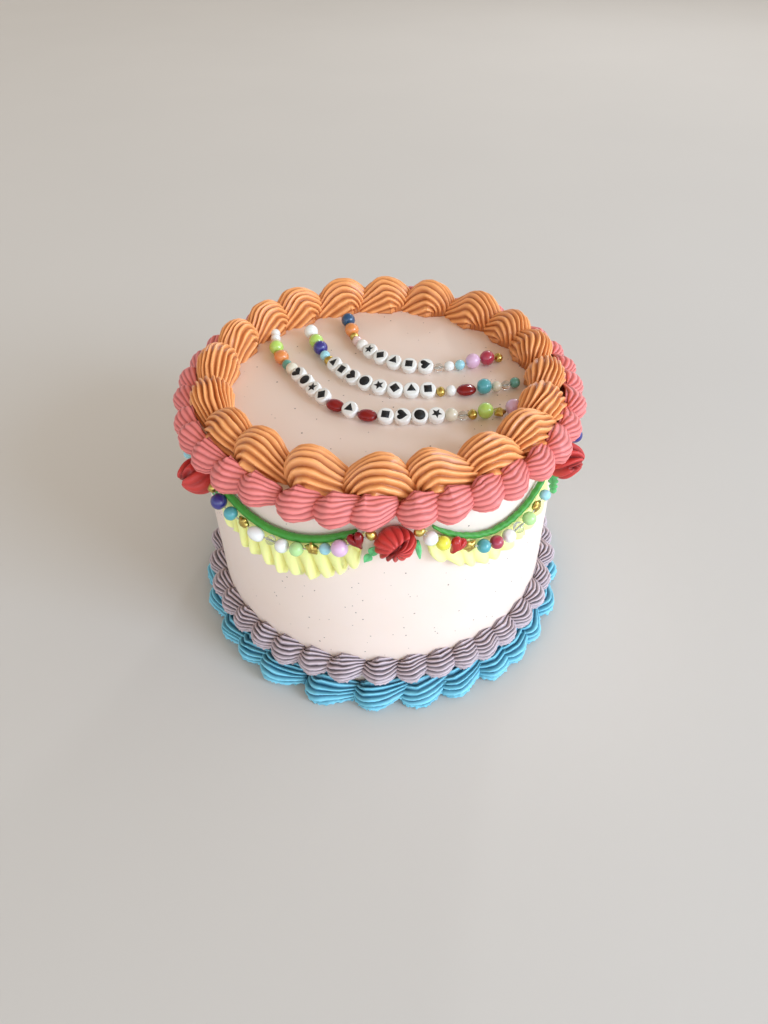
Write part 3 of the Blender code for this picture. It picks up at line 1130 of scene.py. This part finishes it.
@dataclass
class Rope:
    """The green rope over a swag: a drooping line piped with a small round tip.

    Every other one was piped with a shaking hand, so that it is lumpy.

    Attributes:
        swag: The swag that it is in.
        radius: Of the tip.
        end_height: Of its ends.
        clearance: Angle between an end and a rosette's middle.
        points: Points round it, and stations along it.
    """

    swag: Swag
    radius: float = 1.8
    end_height: float = 104.2
    clearance: float = math.radians(9.5)
    points: tuple[int, int] = (24, 110)

    # Share of the radius that is lumps, and depth of the rings
    LUMPS = 0.16
    RING = 0.12
    # How far it strays up and down, and how much painted shade lies between two rings
    SWAY = 0.35
    RING_SHADE = 0.35

    def height(self, share: float) -> float:
        """The rope's height at a share of the way between its ends."""
        return hang(self.end_height, self.swag.style.rope_sag, share)

    def surface(self, turn: float, travel: float) -> tuple[Vector, float]:
        """Where a point of the rope lies.

        Args:
            turn: Share of the way round it.
            travel: Share of the way along it.

        Returns:
            The place in millimetres, and how much painted shade it gets between the rings.
        """
        shake, number = self.swag.style.shake, self.swag.number
        angle = self.swag.angle(self.clearance, travel)
        where = Vector((angle * 22, turn * 2, number * 3.0))
        lump = noise.noise(where) + 0.6 * noise.noise(where * 2.6)
        ring = 0.5 + 0.5 * math.sin(angle * 150 + 3 * math.sin(turn * TAU))
        radius = self.radius * self.swag.style.rope_size * (0.95 + self.LUMPS * shake * lump)
        radius -= self.RING * shake * ring
        radius *= 0.6 + 0.4 * smooth_step(min(travel, 1 - travel) * 9)
        radius *= closed_ends(travel, self.points[1])
        sway = self.SWAY * shake * noise.noise(Vector((angle * 16, 0.0, number * 5.0)))
        place = around(
            WALL + self.radius + radius * math.cos(turn * TAU), angle,
            self.height(travel) + sway + radius * math.sin(turn * TAU))
        # Painted shade between the rings
        return place, self.RING_SHADE * ring * shake

    def build(self) -> None:
        """Pipes the rope."""
        number = self.swag.number + 1
        add_moulded(f"rope_{number}", f"swag_rope_{number}", GREEN, self.points,
                    self.surface)


@dataclass
class Ruffle:
    """The yellow ruffle under a rope: short strokes of a petal tip, side by side.

    Every other one has deep strokes that slant, and the rest are shallow and close.

    Attributes:
        swag: The swag that it is in.
        rope: The rope that it hangs from.
        end_height: Of its hem's ends.
        sag: How far the hem's middle hangs below them.
        clearance: Angle between an end and a rosette's middle.
        flare: How far the hem stands off.
        wave: How far the waves come forward.
        notch: How far the hem rises between two petals.
        length_spread: How much the petals differ in length.
        standoff_spread: How much they differ in how far they stand off.
        back: How far its back stands off.
        front: Share of the section that is the ruffle's face.
        points: Points round it, and stations along it.
    """

    swag: Swag
    rope: Rope
    end_height: float = 91.0
    sag: float = 15.5
    clearance: float = math.radians(7.5)
    flare: float = 3.4
    wave: float = 3.0
    notch: float = 3.6
    length_spread: float = 2.4
    standoff_spread: float = 1.4
    back: float = 0.1
    front: float = 0.76
    points: tuple[int, int] = (40, 150)

    def surface(self, turn: float, travel: float) -> tuple[Vector, float]:
        """Where a point of the ruffle lies.

        Args:
            turn: Share of the way down its face and up its back.
            travel: Share of the way along it.

        Returns:
            The place in millimetres, and how much painted shade it gets in the folds between
            petals.
        """
        style, number = self.swag.style, self.swag.number
        on_face = turn < self.front
        down = turn / self.front if on_face else (1 - turn) / (1 - self.front)
        stroke = travel * style.petals - style.slant * down
        stroke += 0.4 * noise.noise(Vector((travel * 7, number * 7.0, 0.0)))
        own = noise.cell_vector(Vector((math.floor(stroke) + 0.5, number + 0.5, 0.5)))
        phase = (stroke - 0.25 * own.x * down) % 1.0
        hump = math.sin(math.pi * phase ** 1.45) ** 0.8
        top = self.rope.height(travel) - self.rope.radius - 0.4
        hem = hang(self.end_height, self.sag, travel) - (1 - style.deep)
        hem += style.short_start * (1 - smooth_step(travel * 4))
        hem += style.deep * self.notch * (0.35 - hump ** 0.8)
        hem += style.deep * self.length_spread * (own.y - 0.5)
        out = self.back
        if on_face:
            out = mix(1.0, self.flare, smooth_step(down * 1.1) ** 1.3)
            out += self.wave * style.deep * (hump - 0.45) * smooth_step(down * 1.3 - 0.1)
            out += self.standoff_spread * style.deep * (own.z - 0.5) * down
            # The hem turns in
            out *= 1 - 0.6 * smooth_step((down - 0.84) * 6.2)
        ends = closed_ends(travel, self.points[1]) * smooth_step(min(travel, 1 - travel) * 22)
        place = around(WALL + max(mix(self.back, out, ends), self.back / 2),
                       self.swag.angle(self.clearance, travel),
                       mix(top, mix(top, hem, down), ends))
        # Painted shade in the folds between petals, away from the top and deeper on the deep
        # ruffles
        return place, (1 - hump) ** 1.6 * smooth_step(down * 3) * mix(0.35, 1.0, style.deep)

    def build(self) -> None:
        """Pipes the ruffle."""
        number = self.swag.number + 1
        add_moulded(f"ruffle_{number}", f"swag_ruffle_{number}", YELLOW, self.points,
                    self.surface)


@dataclass
class Rosette:
    """A red drop flower where two swags meet: one twist of a star tip against the side.

    The twist leaves one side smooth and draws the other out into pointed lobes.

    Attributes:
        swag: The swag that starts from it.
        radius: Of the flower.
        height: Of its middle.
        lift: How much higher its tip is than its foot.
        rim: Share of its length that is its flat foot.
        lobe_points: Points across a lobe.
        stations: Points from its foot to its tip.
        depths: How far each flower stands out.
        lobes: How many each has.
        spikes: The way that the pointed lobes face, in degrees anticlockwise from the right.
    """

    swag: Swag
    radius: float = 7.9
    height: float = 98.6
    lift: float = 2.5
    rim: float = 0.12
    lobe_points: int = 10
    stations: int = 64
    depths: tuple[float, ...] = (11.0, 12.5, 12.0, 11.5, 12.0, 13.6)
    lobes: tuple[int, ...] = (13, 9, 11, 12, 13, 8)
    spikes: tuple[float, ...] = (-42, 90, -120, -60, 20, 150)

    def surface(self, turn: float, travel: float) -> tuple[Vector, float]:
        """Where a point of the flower lies.

        Args:
            turn: Share of the way round its axis.
            travel: Share of the way from its foot to its tip.

        Returns:
            The place in millimetres, and how much painted shade it gets in its grooves and
            hollow.
        """
        number = self.swag.number
        level = max(travel - self.rim, 0.0) / (1 - self.rim)
        if travel < self.rim:
            spread, rise = 0.78 * travel / self.rim, 0.0
        else:
            lean = math.radians(mix(-38, 90, level))
            spread, rise = math.cos(lean), (math.sin(lean) + 0.62) / 1.62
        faced = turn * TAU - math.radians(self.spikes[number])
        spiky = (0.5 + 0.5 * math.cos(faced)) ** 0.8
        wave = abs(math.sin(math.pi * (turn * self.lobes[number] + 1.5 * level)))
        groove = 1 - wave ** 0.75
        deep = mix(0.05, 0.42, spiky) * math.sin(math.pi * min(level * 1.2, 1.0)) ** 0.5
        across = spread * math.cos(faced)
        # The twist leaves a curved hollow beside the tip
        off = across + 0.10 - 0.25 * (spread * math.sin(faced)) ** 2
        hollow = math.exp(-(off / 0.13) ** 2) * smooth_step((level - 0.45) * 4)
        rise -= (0.05 + 0.14 * spiky) * groove * math.sin(math.pi * level)
        rise -= 0.22 * hollow + 0.10 * max(across, 0.0) * smooth_step(level * 2)
        uneven = noise.noise(
            Vector((math.cos(faced), math.sin(faced), level * 2 + number * 9.0)))
        reach = self.radius * spread * (1 - deep * groove) * (1 + 0.07 * uneven)
        rise = max(rise, 0.0)
        place = around(WALL + rise * self.depths[number], self.swag.start, self.height)
        place += around(reach * math.cos(turn * TAU), self.swag.start + math.pi / 2,
                        reach * math.sin(turn * TAU) + rise ** 2 * self.lift)
        # Painted shade in the grooves between lobes, deeper on the spiky side, and in the hollow
        # beside the tip
        depth = groove * smooth_step(level * 4) * mix(0.25, 1.0, spiky)
        return place, min(depth + 0.7 * hollow, 1.0)

    def build(self) -> None:
        """Pipes the flower."""
        number, points = self.swag.number + 1, self.lobes[self.swag.number] * self.lobe_points
        add_moulded(f"rosette_flower_{number}", f"rosette_{number}", RED,
                    (points, self.stations), self.surface)


@dataclass
class Leaf:
    """A small piped leaf beside a rosette, which leans down and away from it.

    Attributes:
        swag: The swag that starts from the rosette.
        hand: -1 for the leaf on the rosette's left and 1 for the one on its right.
        number: The leaf's own number.
        form: How it was piped.
        length: From base to tip.
        width: Of the solid's leaf.
        thickness: Of the leaf.
        aside: The way from the rosette's middle to the leaf's base.
        height: Of its base.
        lean: Its turn away from straight down, in radians.
        standoff: Of its base from the side.
        points: Points round it, and stations along it.
    """

    swag: Swag
    hand: int
    number: int
    form: LeafShape
    length: float = 8.2
    width: float = 4.6
    thickness: float = 1.7
    aside: float = 8.8
    height: float = 94.4
    lean: float = math.radians(32)
    standoff: float = 2.0
    points: tuple[int, int] = (28, 40)

    def build(self) -> None:
        """Pipes the leaf."""
        notches, notch, wide_share, lean_share, nearer, higher, raised = self.form.value
        facing = self.swag.start + self.hand * (self.aside - nearer) / CAKE_RADIUS
        lean = self.lean * lean_share
        out = around(1.0, facing, 0.0)
        tip = around(self.hand * math.sin(lean), facing + math.pi / 2, -math.cos(lean))
        tip = (tip + out * 0.3).normalized()
        level = tip.cross(out).normalized()
        across = Matrix.Rotation(math.radians(raised * self.hand), 3, tip) @ level
        lift = across.cross(tip).normalized()
        base = around(CAKE_RADIUS + self.standoff, facing, self.height + higher)

        def surface(turn: float, travel: float) -> tuple[Vector, float]:
            """Where a point of the leaf lies.

            Args:
                turn: Share of the way round its section.
                travel: Share of the way from its base to its tip.

            Returns:
                The place in millimetres, and how much painted shade it gets.
            """
            between = 1 - abs(math.sin(math.pi * travel * notches)) ** 0.8
            half = self.width / 2 * wide_share * (1 - notch * between)
            half *= math.sin(math.pi * mix(0.2, 0.97, travel)) ** 0.6
            half *= closed_ends(travel, self.points[1])
            aside = math.cos(turn * TAU)
            wave = 0.35 * aside * math.sin(travel * 9)
            thick = self.thickness / 2 * math.sin(turn * TAU) * (1 - 0.7 * notch * between)
            thick *= math.sin(math.pi * mix(0.2, 1.0, travel)) ** 0.5
            thick *= 1 + 0.12 * math.sin(travel * 31)
            place = base + across * (half * aside) + tip * (travel * self.length)
            # Painted shade, deepest along the middle of each face and at the notches
            return place + lift * (wave + thick), 0.5 * (1 - abs(aside)) ** 2 + 0.3 * between

        add_moulded(f"piped_leaf_{self.number}", f"leaf_{self.number}", LEAF,
                    self.points, surface)


# Beads


@dataclass(frozen=True)
class Bead:
    """A round or oval bead.

    Attributes:
        length: Its size along the thread.
        width: Across the thread.
        height: Of the bead where it lies on the icing.
    """

    length: float
    width: float
    height: float

    # Points round the ball that it is pressed from, and from pole to pole
    POINTS = (26, 16)

    def add(self, shape: BMesh) -> Verts:
        """Adds the bead at the origin, with the thread along X and its face up Z.

        Args:
            shape: The bmesh that it goes into.

        Returns:
            The new vertices.
        """
        verts = self.blank(shape)
        for vert in verts:
            vert.co = self.press(vert.co)
        bmesh.ops.scale(shape, verts=verts, vec=(self.length, self.width, self.height))
        return verts

    def blank(self, shape: BMesh) -> Verts:
        """Adds the ball, 1 across, that the bead is pressed from."""
        turns, levels = self.POINTS
        return bmesh.ops.create_uvsphere(
            shape, u_segments=turns, v_segments=levels, radius=0.5)["verts"]

    def press(self, place: Vector) -> Vector:
        """Where a point of the ball goes, before the bead has its size: the holes sink in."""
        x, y, z = place
        return Vector((z * (1 - 0.06 * smooth_step((abs(z) - 0.42) * 12)), x, y))


@dataclass(frozen=True)
class CoinBead(Bead):
    """A flat round bead with rounded rims."""

    # Radius of the rims beside the bead's height, and the faces across them
    RIM = 0.24
    RIM_STEPS = 4

    def add(self, shape: BMesh) -> Verts:
        """Adds the coin at the origin.

        Args:
            shape: The bmesh that it goes into.

        Returns:
            The new vertices.
        """
        made = bmesh.ops.create_cone(
            shape, cap_ends=True, segments=32, radius1=0.5, radius2=0.5, depth=1.0)["verts"]
        bmesh.ops.scale(shape, verts=made, vec=(self.length, self.width, self.height))
        edges = {
            edge for vert in made for edge in vert.link_edges
            if abs(edge.verts[0].co.z - edge.verts[1].co.z) < self.height / 2}
        rounded = bmesh.ops.bevel(
            shape, geom=list(edges), offset=self.height * self.RIM, offset_type="OFFSET",
            segments=self.RIM_STEPS, profile=0.5, affect="EDGES", material=-1)
        corners = {vert for face in rounded["faces"] for vert in face.verts}
        return list(corners | {vert for vert in made if vert.is_valid})


@dataclass(frozen=True)
class StarBead(Bead):
    """A puffed five-point star."""

    POINTS = (20, 10)

    def press(self, place: Vector) -> Vector:
        """Draws out the points, which are thinner than the middle.

        Args:
            place: A point of the ball.

        Returns:
            Where it goes.
        """
        point = abs((math.atan2(place.y, place.x) * 5 / TAU) % 1.0 - 0.5) * 2
        reach = mix(0.66, 1.1, point)
        return Vector((place.x * reach, place.y * reach, place.z * (1 - 0.3 * point)))


@dataclass(frozen=True)
class NuggetBead(Bead):
    """A small hammered bead with a dozen flats."""

    def blank(self, shape: BMesh) -> Verts:
        """Adds a ball of even triangles."""
        return bmesh.ops.create_icosphere(shape, subdivisions=3, radius=0.5)["verts"]

    def press(self, place: Vector) -> Vector:
        """Hammers in a flat wherever a cell of a coarse grid says so."""
        flat = noise.cell_vector(place * 3.1 + Vector((9.5, 4.5, 2.5))).x
        return place * (1 - 0.09 * flat)


@dataclass(frozen=True)
class HeartBead(Bead):
    """A puffed heart, with its tip down across the thread."""

    POINTS = (40, 18)

    def press(self, place: Vector) -> Vector:
        """Pulls the ball to a heart's outline.

        Args:
            place: A point of the ball.

        Returns:
            Where it goes.
        """
        angle = math.atan2(place.y, place.x) + math.pi / 2
        outline = heart_outline(angle) * math.hypot(place.x, place.y)
        return Vector((outline.y, -outline.x, place.z))


@dataclass(frozen=True)
class LyingHeartBead(Bead):
    """A puffed heart threaded from lobe to lobe and lying on its side: an oval with a crease."""

    POINTS = (28, 22)

    def press(self, place: Vector) -> Vector:
        """Fills out the ball's ends and creases one of them.

        Args:
            place: A point of the ball.

        Returns:
            Where it goes.
        """
        x, y, z = place
        plain = max(math.sqrt(1 - min(4 * z * z, 0.999)), 0.03)
        girth = (1 - abs(2 * z) ** 2.4) ** 0.62 / plain
        crease = 0.16 * math.exp(-(x / 0.10) ** 2) * smooth_step((z + 0.1) * 4)
        return Vector((z, x * girth, y * girth * (1 - crease)))


def heart_outline(angle: float) -> Vector:
    """Draws a heart about 1 across, with its tip towards +X.

    Args:
        angle: How far round it the point lies, in radians.

    Returns:
        The point.
    """
    x = (13 * math.cos(angle) - 5 * math.cos(2 * angle) - 2 * math.cos(3 * angle)
         - math.cos(4 * angle))
    y = 16 * math.sin(angle) ** 3
    return Vector((-(x + 2.5) / 15.0, y / 16.0))


BEADS: dict[str, Bead] = {
    "mark": CoinBead(6.9, 6.9, 3.4),
    "large": Bead(6.6, 6.6, 6.6),
    "round": Bead(5.6, 5.6, 5.6),
    "small": Bead(4.6, 4.6, 4.6),
    "seed": Bead(4.0, 4.0, 4.0),
    "spacer": Bead(2.6, 4.4, 4.4),
    "star": StarBead(5.4, 5.8, 3.6),
    "nugget": NuggetBead(4.1, 4.8, 4.2),
    "oval": Bead(7.6, 5.6, 5.4),
    "heart": LyingHeartBead(8.6, 6.2, 4.4),
    "upright": HeartBead(6.6, 8.0, 4.6),
}


# Thickness of the printed marks, and how much of it stands over the bead
MARK_LAYER = 0.5
MARK_RISE = 0.05


class Mark(Enum):
    """The small printed shapes on the flat beads.

    The values are their corners, how far every other corner reaches beside the rest, and
    their turn in degrees.
    """

    HEART = (32, 1.0, 0)
    DOT = (24, 1.0, 0)
    STAR = (10, 0.45, 0)
    DIAMOND = (4, 1.0, 0)
    TRIANGLE = (3, 1.0, 0)
    SQUARE = (4, 1.0, 45)

    def add(self, shape: BMesh, size: float, height: float) -> Verts:
        """Prints the mark as a thin layer.

        Args:
            shape: The bmesh that it goes into.
            size: Its reach from the middle, in millimetres.
            height: Of the face that it is printed on.

        Returns:
            The new vertices.
        """
        corners, inner, turn = self.value
        verts = bmesh.ops.create_circle(
            shape, cap_ends=True, segments=corners, radius=size)["verts"]
        for i, vert in enumerate(verts):
            if self is Mark.HEART:
                vert.co = (heart_outline(TAU * i / corners) * size).to_3d()
            elif i % 2:
                vert.co *= inner
        turned = Matrix.Rotation(math.radians(turn), 3, "Z")
        bmesh.ops.rotate(shape, verts=verts, matrix=turned)
        top = bmesh.ops.extrude_face_region(shape, geom=list(verts[0].link_faces))["geom"]
        raised = [part for part in top if isinstance(part, BMVert)]
        bmesh.ops.translate(shape, verts=raised, vec=(0, 0, MARK_LAYER))
        layer = verts + raised
        bmesh.ops.translate(shape, verts=layer, vec=(0, 0, height + MARK_RISE - MARK_LAYER))
        return layer


@dataclass
class BeadString:
    """Beads on a thread that lies on the icing.

    Attributes:
        name: The piece.
        node: The solid that it stands for.
        beads: Kind and colour of each bead in order, such as large:lime.
        path: The thread's foot on the icing, in millimetres, at a share of its length.
        outward: The way out of the icing at a place.
        first_mark: The mark that the first printed bead has.
        colours: The colours used so far, in the order of the faces' material numbers.
    """

    name: str
    node: str
    beads: str
    path: Callable[[float], Vector]
    outward: Callable[[Vector], Vector]
    first_mark: int = 0
    colours: list[str] = field(default_factory=list)

    # Straight pieces that the path is measured in
    STEPS = 400
    # How far a bead turns either way, in radians
    NUDGE = 0.14
    # How far the flat beads tip to the front about their thread, in radians, and how much
    # higher their middles then lie
    MARK_TIP = (0.34, 0.52)
    MARK_LIFT = 1.2
    MARK_SIZE = 2.3
    THREAD_RADIUS = 0.3

    def spots(self, kinds: list[Bead]) -> list[tuple[Vector, Vector]]:
        """Spreads beads evenly over the path.

        Args:
            kinds: The beads in order.

        Returns:
            The place on the icing under each bead's middle, and the way that the thread runs.
        """
        feet = [self.path(i / self.STEPS) for i in range(self.STEPS + 1)]
        reached = [0.0]
        for near, far in zip(feet, feet[1:]):
            reached.append(reached[-1] + (far - near).length)
        spare = (reached[-1] - sum(kind.length for kind in kinds)) / len(kinds)
        spots = []
        edge = 0.0
        for kind in kinds:
            middle = edge + (kind.length + spare) / 2
            edge += kind.length + spare
            i = bisect.bisect_left(reached, middle)
            share = (middle - reached[i - 1]) / (reached[i] - reached[i - 1])
            ahead = (feet[i] - feet[i - 1]).normalized()
            spots.append((feet[i - 1].lerp(feet[i], share), ahead))
        return spots

    def paint(self, verts: Verts, colour: str) -> None:
        """Gives the faces of new vertices a finish.

        Args:
            verts: The vertices.
            colour: Name of the bead's finish.
        """
        if colour not in self.colours:
            self.colours.append(colour)
        for face in {face for vert in verts for face in vert.link_faces}:
            face.material_index = self.colours.index(colour)

    def build(self) -> None:
        """Strings the beads."""
        draw = random.Random(self.name)
        shape = bmesh.new()
        tokens = [token.split(":") for token in self.beads.split()]
        kinds = [BEADS[kind] for kind, _ in tokens]
        placed = []
        for kind, (foot, ahead) in zip(kinds, self.spots(kinds)):
            out = self.outward(foot)
            placed.append((foot + out * (kind.height / 2), ahead, out))
        # The thread comes first, while the mesh is empty and its points are the only ones
        self.add_thread(shape, [middle for middle, _, _ in placed])
        printed = self.first_mark
        for (name, colour), kind, (middle, ahead, out) in zip(tokens, kinds, placed):
            turned = Matrix((ahead, out.cross(ahead).normalized(), out)).transposed().to_4x4()
            nudge = Matrix.Rotation(draw.uniform(-self.NUDGE, self.NUDGE), 4, "Z")
            made = kind.add(shape)
            self.paint(made, colour)
            if name == "mark":
                nudge = Matrix.Rotation(draw.uniform(*self.MARK_TIP), 4, "X") @ nudge
                middle = middle + out * self.MARK_LIFT
                layer = list(Mark)[printed % len(Mark)].add(
                    shape, self.MARK_SIZE, kind.height / 2)
                self.paint(layer, "black")
                made += layer
                printed += 1
            matrix = Matrix.Translation(middle) @ turned @ nudge
            bmesh.ops.transform(shape, matrix=matrix, verts=made)
        bmesh.ops.scale(shape, verts=shape.verts, vec=(MM, MM, MM))
        finishes = [BEAD_FINISHES[name] for name in self.colours]
        add_piece(self.name, self.node, shape, finishes)

    def add_thread(self, shape: BMesh, middles: list[Vector]) -> None:
        """Runs the thread through the beads.

        Args:
            shape: The string's bmesh, which is still empty.
            middles: The beads' middles.
        """
        stations = 4 * len(middles)

        def surface(turn: float, travel: float) -> tuple[Vector, float]:
            """Where a point of the thread lies.

            Args:
                turn: Share of the way round it.
                travel: Share of the way along it.

            Returns:
                The place, and 0, as it has no grooves.
            """
            reach = travel * (len(middles) - 1)
            i = min(int(reach), len(middles) - 2)
            place = middles[i].lerp(middles[i + 1], reach - i)
            out = self.outward(place)
            side = out.cross(middles[i + 1] - middles[i]).normalized()
            radius = self.THREAD_RADIUS * closed_ends(travel, stations)
            place = place + (out * math.sin(turn * TAU) + side * math.cos(turn * TAU)) * radius
            # The string is scaled to metres when it is whole
            return place / MM, 0.0

        self.paint(mould(shape, 6, stations, surface), "thread")


def curve_through(points: list[Vector], share: float) -> Vector:
    """Follows a Catmull-Rom curve through points.

    Args:
        points: The points in order.
        share: Share of the way along them.

    Returns:
        The place there.
    """
    ends = [points[0] * 2 - points[1], *points, points[-1] * 2 - points[-2]]
    place = min(share * (len(points) - 1), len(points) - 1.0001)
    i = int(place)
    t = place - i
    a, b, c, d = ends[i:i + 4]
    return 0.5 * (2 * b + (c - a) * t + (2 * a - 5 * b + 4 * c - d) * t ** 2
                  + (3 * b - a - 3 * c + d) * t ** 3)


# Beads of each string on top, and the points that its thread's curve runs through
TOP_STRINGS = [
    (
        "large:deepblue spacer:gold large:orange spacer:gold small:blush round:pearl"
        + 5 * " mark:white" + " seed:clear small:white small:aqua large:pink large:crimson"
        " nugget:gold",
        [(-15.0, 54.0), (-11.9, 39.0), (-7.6, 28.0), (1.8, 15.9), (14.2, 8.8), (28.0, 8.6),
         (41.7, 11.4), (56.0, 16.6)],
    ),
    (
        "large:white spacer:gold large:lime large:indigo small:aqua nugget:gold"
        + 8 * " mark:white" + " nugget:gold small:white heart:red large:teal small:cream"
        " seed:clear small:sea",
        [(-32.7, 43.0), (-25.8, 23.5), (-18.2, 9.3), (-9.4, -1.3), (2.3, -8.6), (15.8, -10.8),
         (33.3, -10.2), (48.0, -8.4), (60.6, -4.2)],
    ),
    (
        "small:white small:white small:cream large:lime spacer:gold large:orange small:sea"
        " round:cream" + 4 * " mark:white" + " heart:red mark:white heart:red"
        + 4 * " mark:white" + " round:cream seed:clear nugget:gold large:lime star:gold"
        " large:pink",
        [(-48.9, 42.6), (-46.2, 24.0), (-40.8, 12.6), (-33.2, 0.8), (-25.9, -10.9),
         (-15.3, -21.9), (-1.7, -28.2), (11.7, -29.6), (28.0, -28.8), (44.6, -26.6),
         (58.2, -23.8)],
    ),
]


def top_strings() -> list[BeadString]:
    """Lays out the three strings on top of the cake.

    Returns:
        The strings, from the back to the front.
    """
    made = []
    for number, (beads, through) in enumerate(TOP_STRINGS, start=1):
        points = [Vector((x, y, CAKE_HEIGHT + GAP)) for x, y in through]
        made.append(BeadString(
            f"top_beads_{number}", f"top_bead_string_{number}", beads,
            functools.partial(curve_through, points), lambda place: Vector((0, 0, 1)),
            first_mark=number * 2))
    return made


# The studio


@dataclass
class Studio:
    """A plain pale floor, soft light from the right, and the camera over the front edge.

    Attributes:
        floor_radius: Of the floor, in metres.
        lens: The camera's, in millimetres on a sensor of 36.
        camera_place: In millimetres, as the cake.
        pitch: How far the camera looks down, in degrees.
        roll: How far it is turned about the way that it looks, in degrees.
        zenith: Colour of the light from above.
        zenith_strength: Of that light.
        horizon: Colour of the light from all round.
        horizon_strength: Of that light.
        horizon_right: How much brighter the horizon is on the right than in the middle.
        horizon_front: How much brighter it is in front.
    """

    floor_radius: float = 9.0
    lens: float = 26.10
    camera_place: tuple[float, float, float] = (1.39, -275.9, 292.5)
    pitch: float = 42.72
    roll: float = -0.95
    zenith: str = "#FFDFB0"
    zenith_strength: float = 0.48
    horizon: str = "#DFEEFF"
    horizon_strength: float = 2.65
    horizon_right: float = 0.5
    horizon_front: float = 0.32

    def build(self) -> None:
        """Sets up the floor, the lights, the world and the camera."""
        self.lay_floor()
        self.add_world()
        self.add_light("window_right", (1.34, -0.90, 0.85), 0.7, 19.0, "#C8E2FF")
        self.add_light("window_behind", (0.6, 1.5, 0.85), 0.14, 2.5, "#F4F8FF")
        self.add_camera()
        view = bpy.context.scene.view_settings
        view.view_transform = "Standard"
        view.look = "None"

    def lay_floor(self) -> None:
        """A wide matt floor."""
        shape = bmesh.new()
        bmesh.ops.create_circle(shape, cap_ends=True, segments=64, radius=self.floor_radius)
        mesh = bpy.data.meshes.new("floor")
        shape.to_mesh(mesh)
        shape.free()
        mesh.materials.append(FLOOR.material())
        floor = bpy.data.objects.new("floor", mesh)
        bpy.context.scene.collection.objects.link(floor)

    def add_world(self) -> None:
        """Light from all round, brightest near the horizon, on the right and in front."""
        world = bpy.data.worlds.new("studio")
        nodes = Nodes(world, "Generated")
        way = nodes.add("SeparateXYZ", {0: nodes.place}).outputs
        over = nodes.reckon("SUBTRACT", 1.0, way["Z"], clamp=True)
        right = nodes.reckon("MULTIPLY_ADD", way["X"], self.horizon_right, 1.0)
        nodes.shade({
            "Color": nodes.blend(nodes.reckon("POWER", over, 2.0),
                                 linear(self.zenith, self.zenith_strength),
                                 linear(self.horizon, self.horizon_strength)),
            "Strength": nodes.reckon("MULTIPLY_ADD", way["Y"], -self.horizon_front, right)},
            "Background")
        bpy.context.scene.world = world

    def add_light(self, name: str, place: tuple[float, float, float], size: float,
                  power: float, colour: str) -> None:
        """Adds a square soft light that faces the cake.

        Args:
            name: Its name.
            place: Where it stands, in metres.
            size: Its side, in metres.
            power: In watts.
            colour: As #RRGGBB.
        """
        data = bpy.data.lights.new(name, "AREA")
        data.size = size
        data.energy = power
        data.color = linear(colour)[:3]
        light = bpy.data.objects.new(name, data)
        light.location = place
        aim = Vector((0, 0, 0.08)) - light.location
        light.rotation_euler = aim.to_track_quat("-Z", "Y").to_euler()
        bpy.context.scene.collection.objects.link(light)

    def add_camera(self) -> None:
        """Sets the camera at the photograph's angle."""
        data = bpy.data.cameras.new("camera")
        data.lens = self.lens
        data.sensor_width = 36.0
        data.clip_start = 0.01
        pitch, roll = math.radians(self.pitch), math.radians(self.roll)
        ahead = Vector((0, math.cos(pitch), -math.sin(pitch)))
        level, upright = Vector((1, 0, 0)), Vector((0, math.sin(pitch), math.cos(pitch)))
        right = level * math.cos(roll) + upright * math.sin(roll)
        up = upright * math.cos(roll) - level * math.sin(roll)
        camera = bpy.data.objects.new("camera", data)
        turned = Matrix((right, up, -ahead)).transposed().to_4x4()
        camera.matrix_world = Matrix.Translation(Vector(self.camera_place) * MM) @ turned
        bpy.context.scene.collection.objects.link(camera)
        bpy.context.scene.camera = camera


def main() -> None:
    """Builds the cake from the block up, then its studio."""
    logging.basicConfig(level=logging.INFO, format="%(message)s")
    IcedBlock().build()
    for border in BORDERS:
        border.build()
    for number in range(len(SWAG_ANGLES)):
        Swag(number).build()
    for string in top_strings():
        string.build()
    Studio().build()


if __name__ == "__main__":
    main()
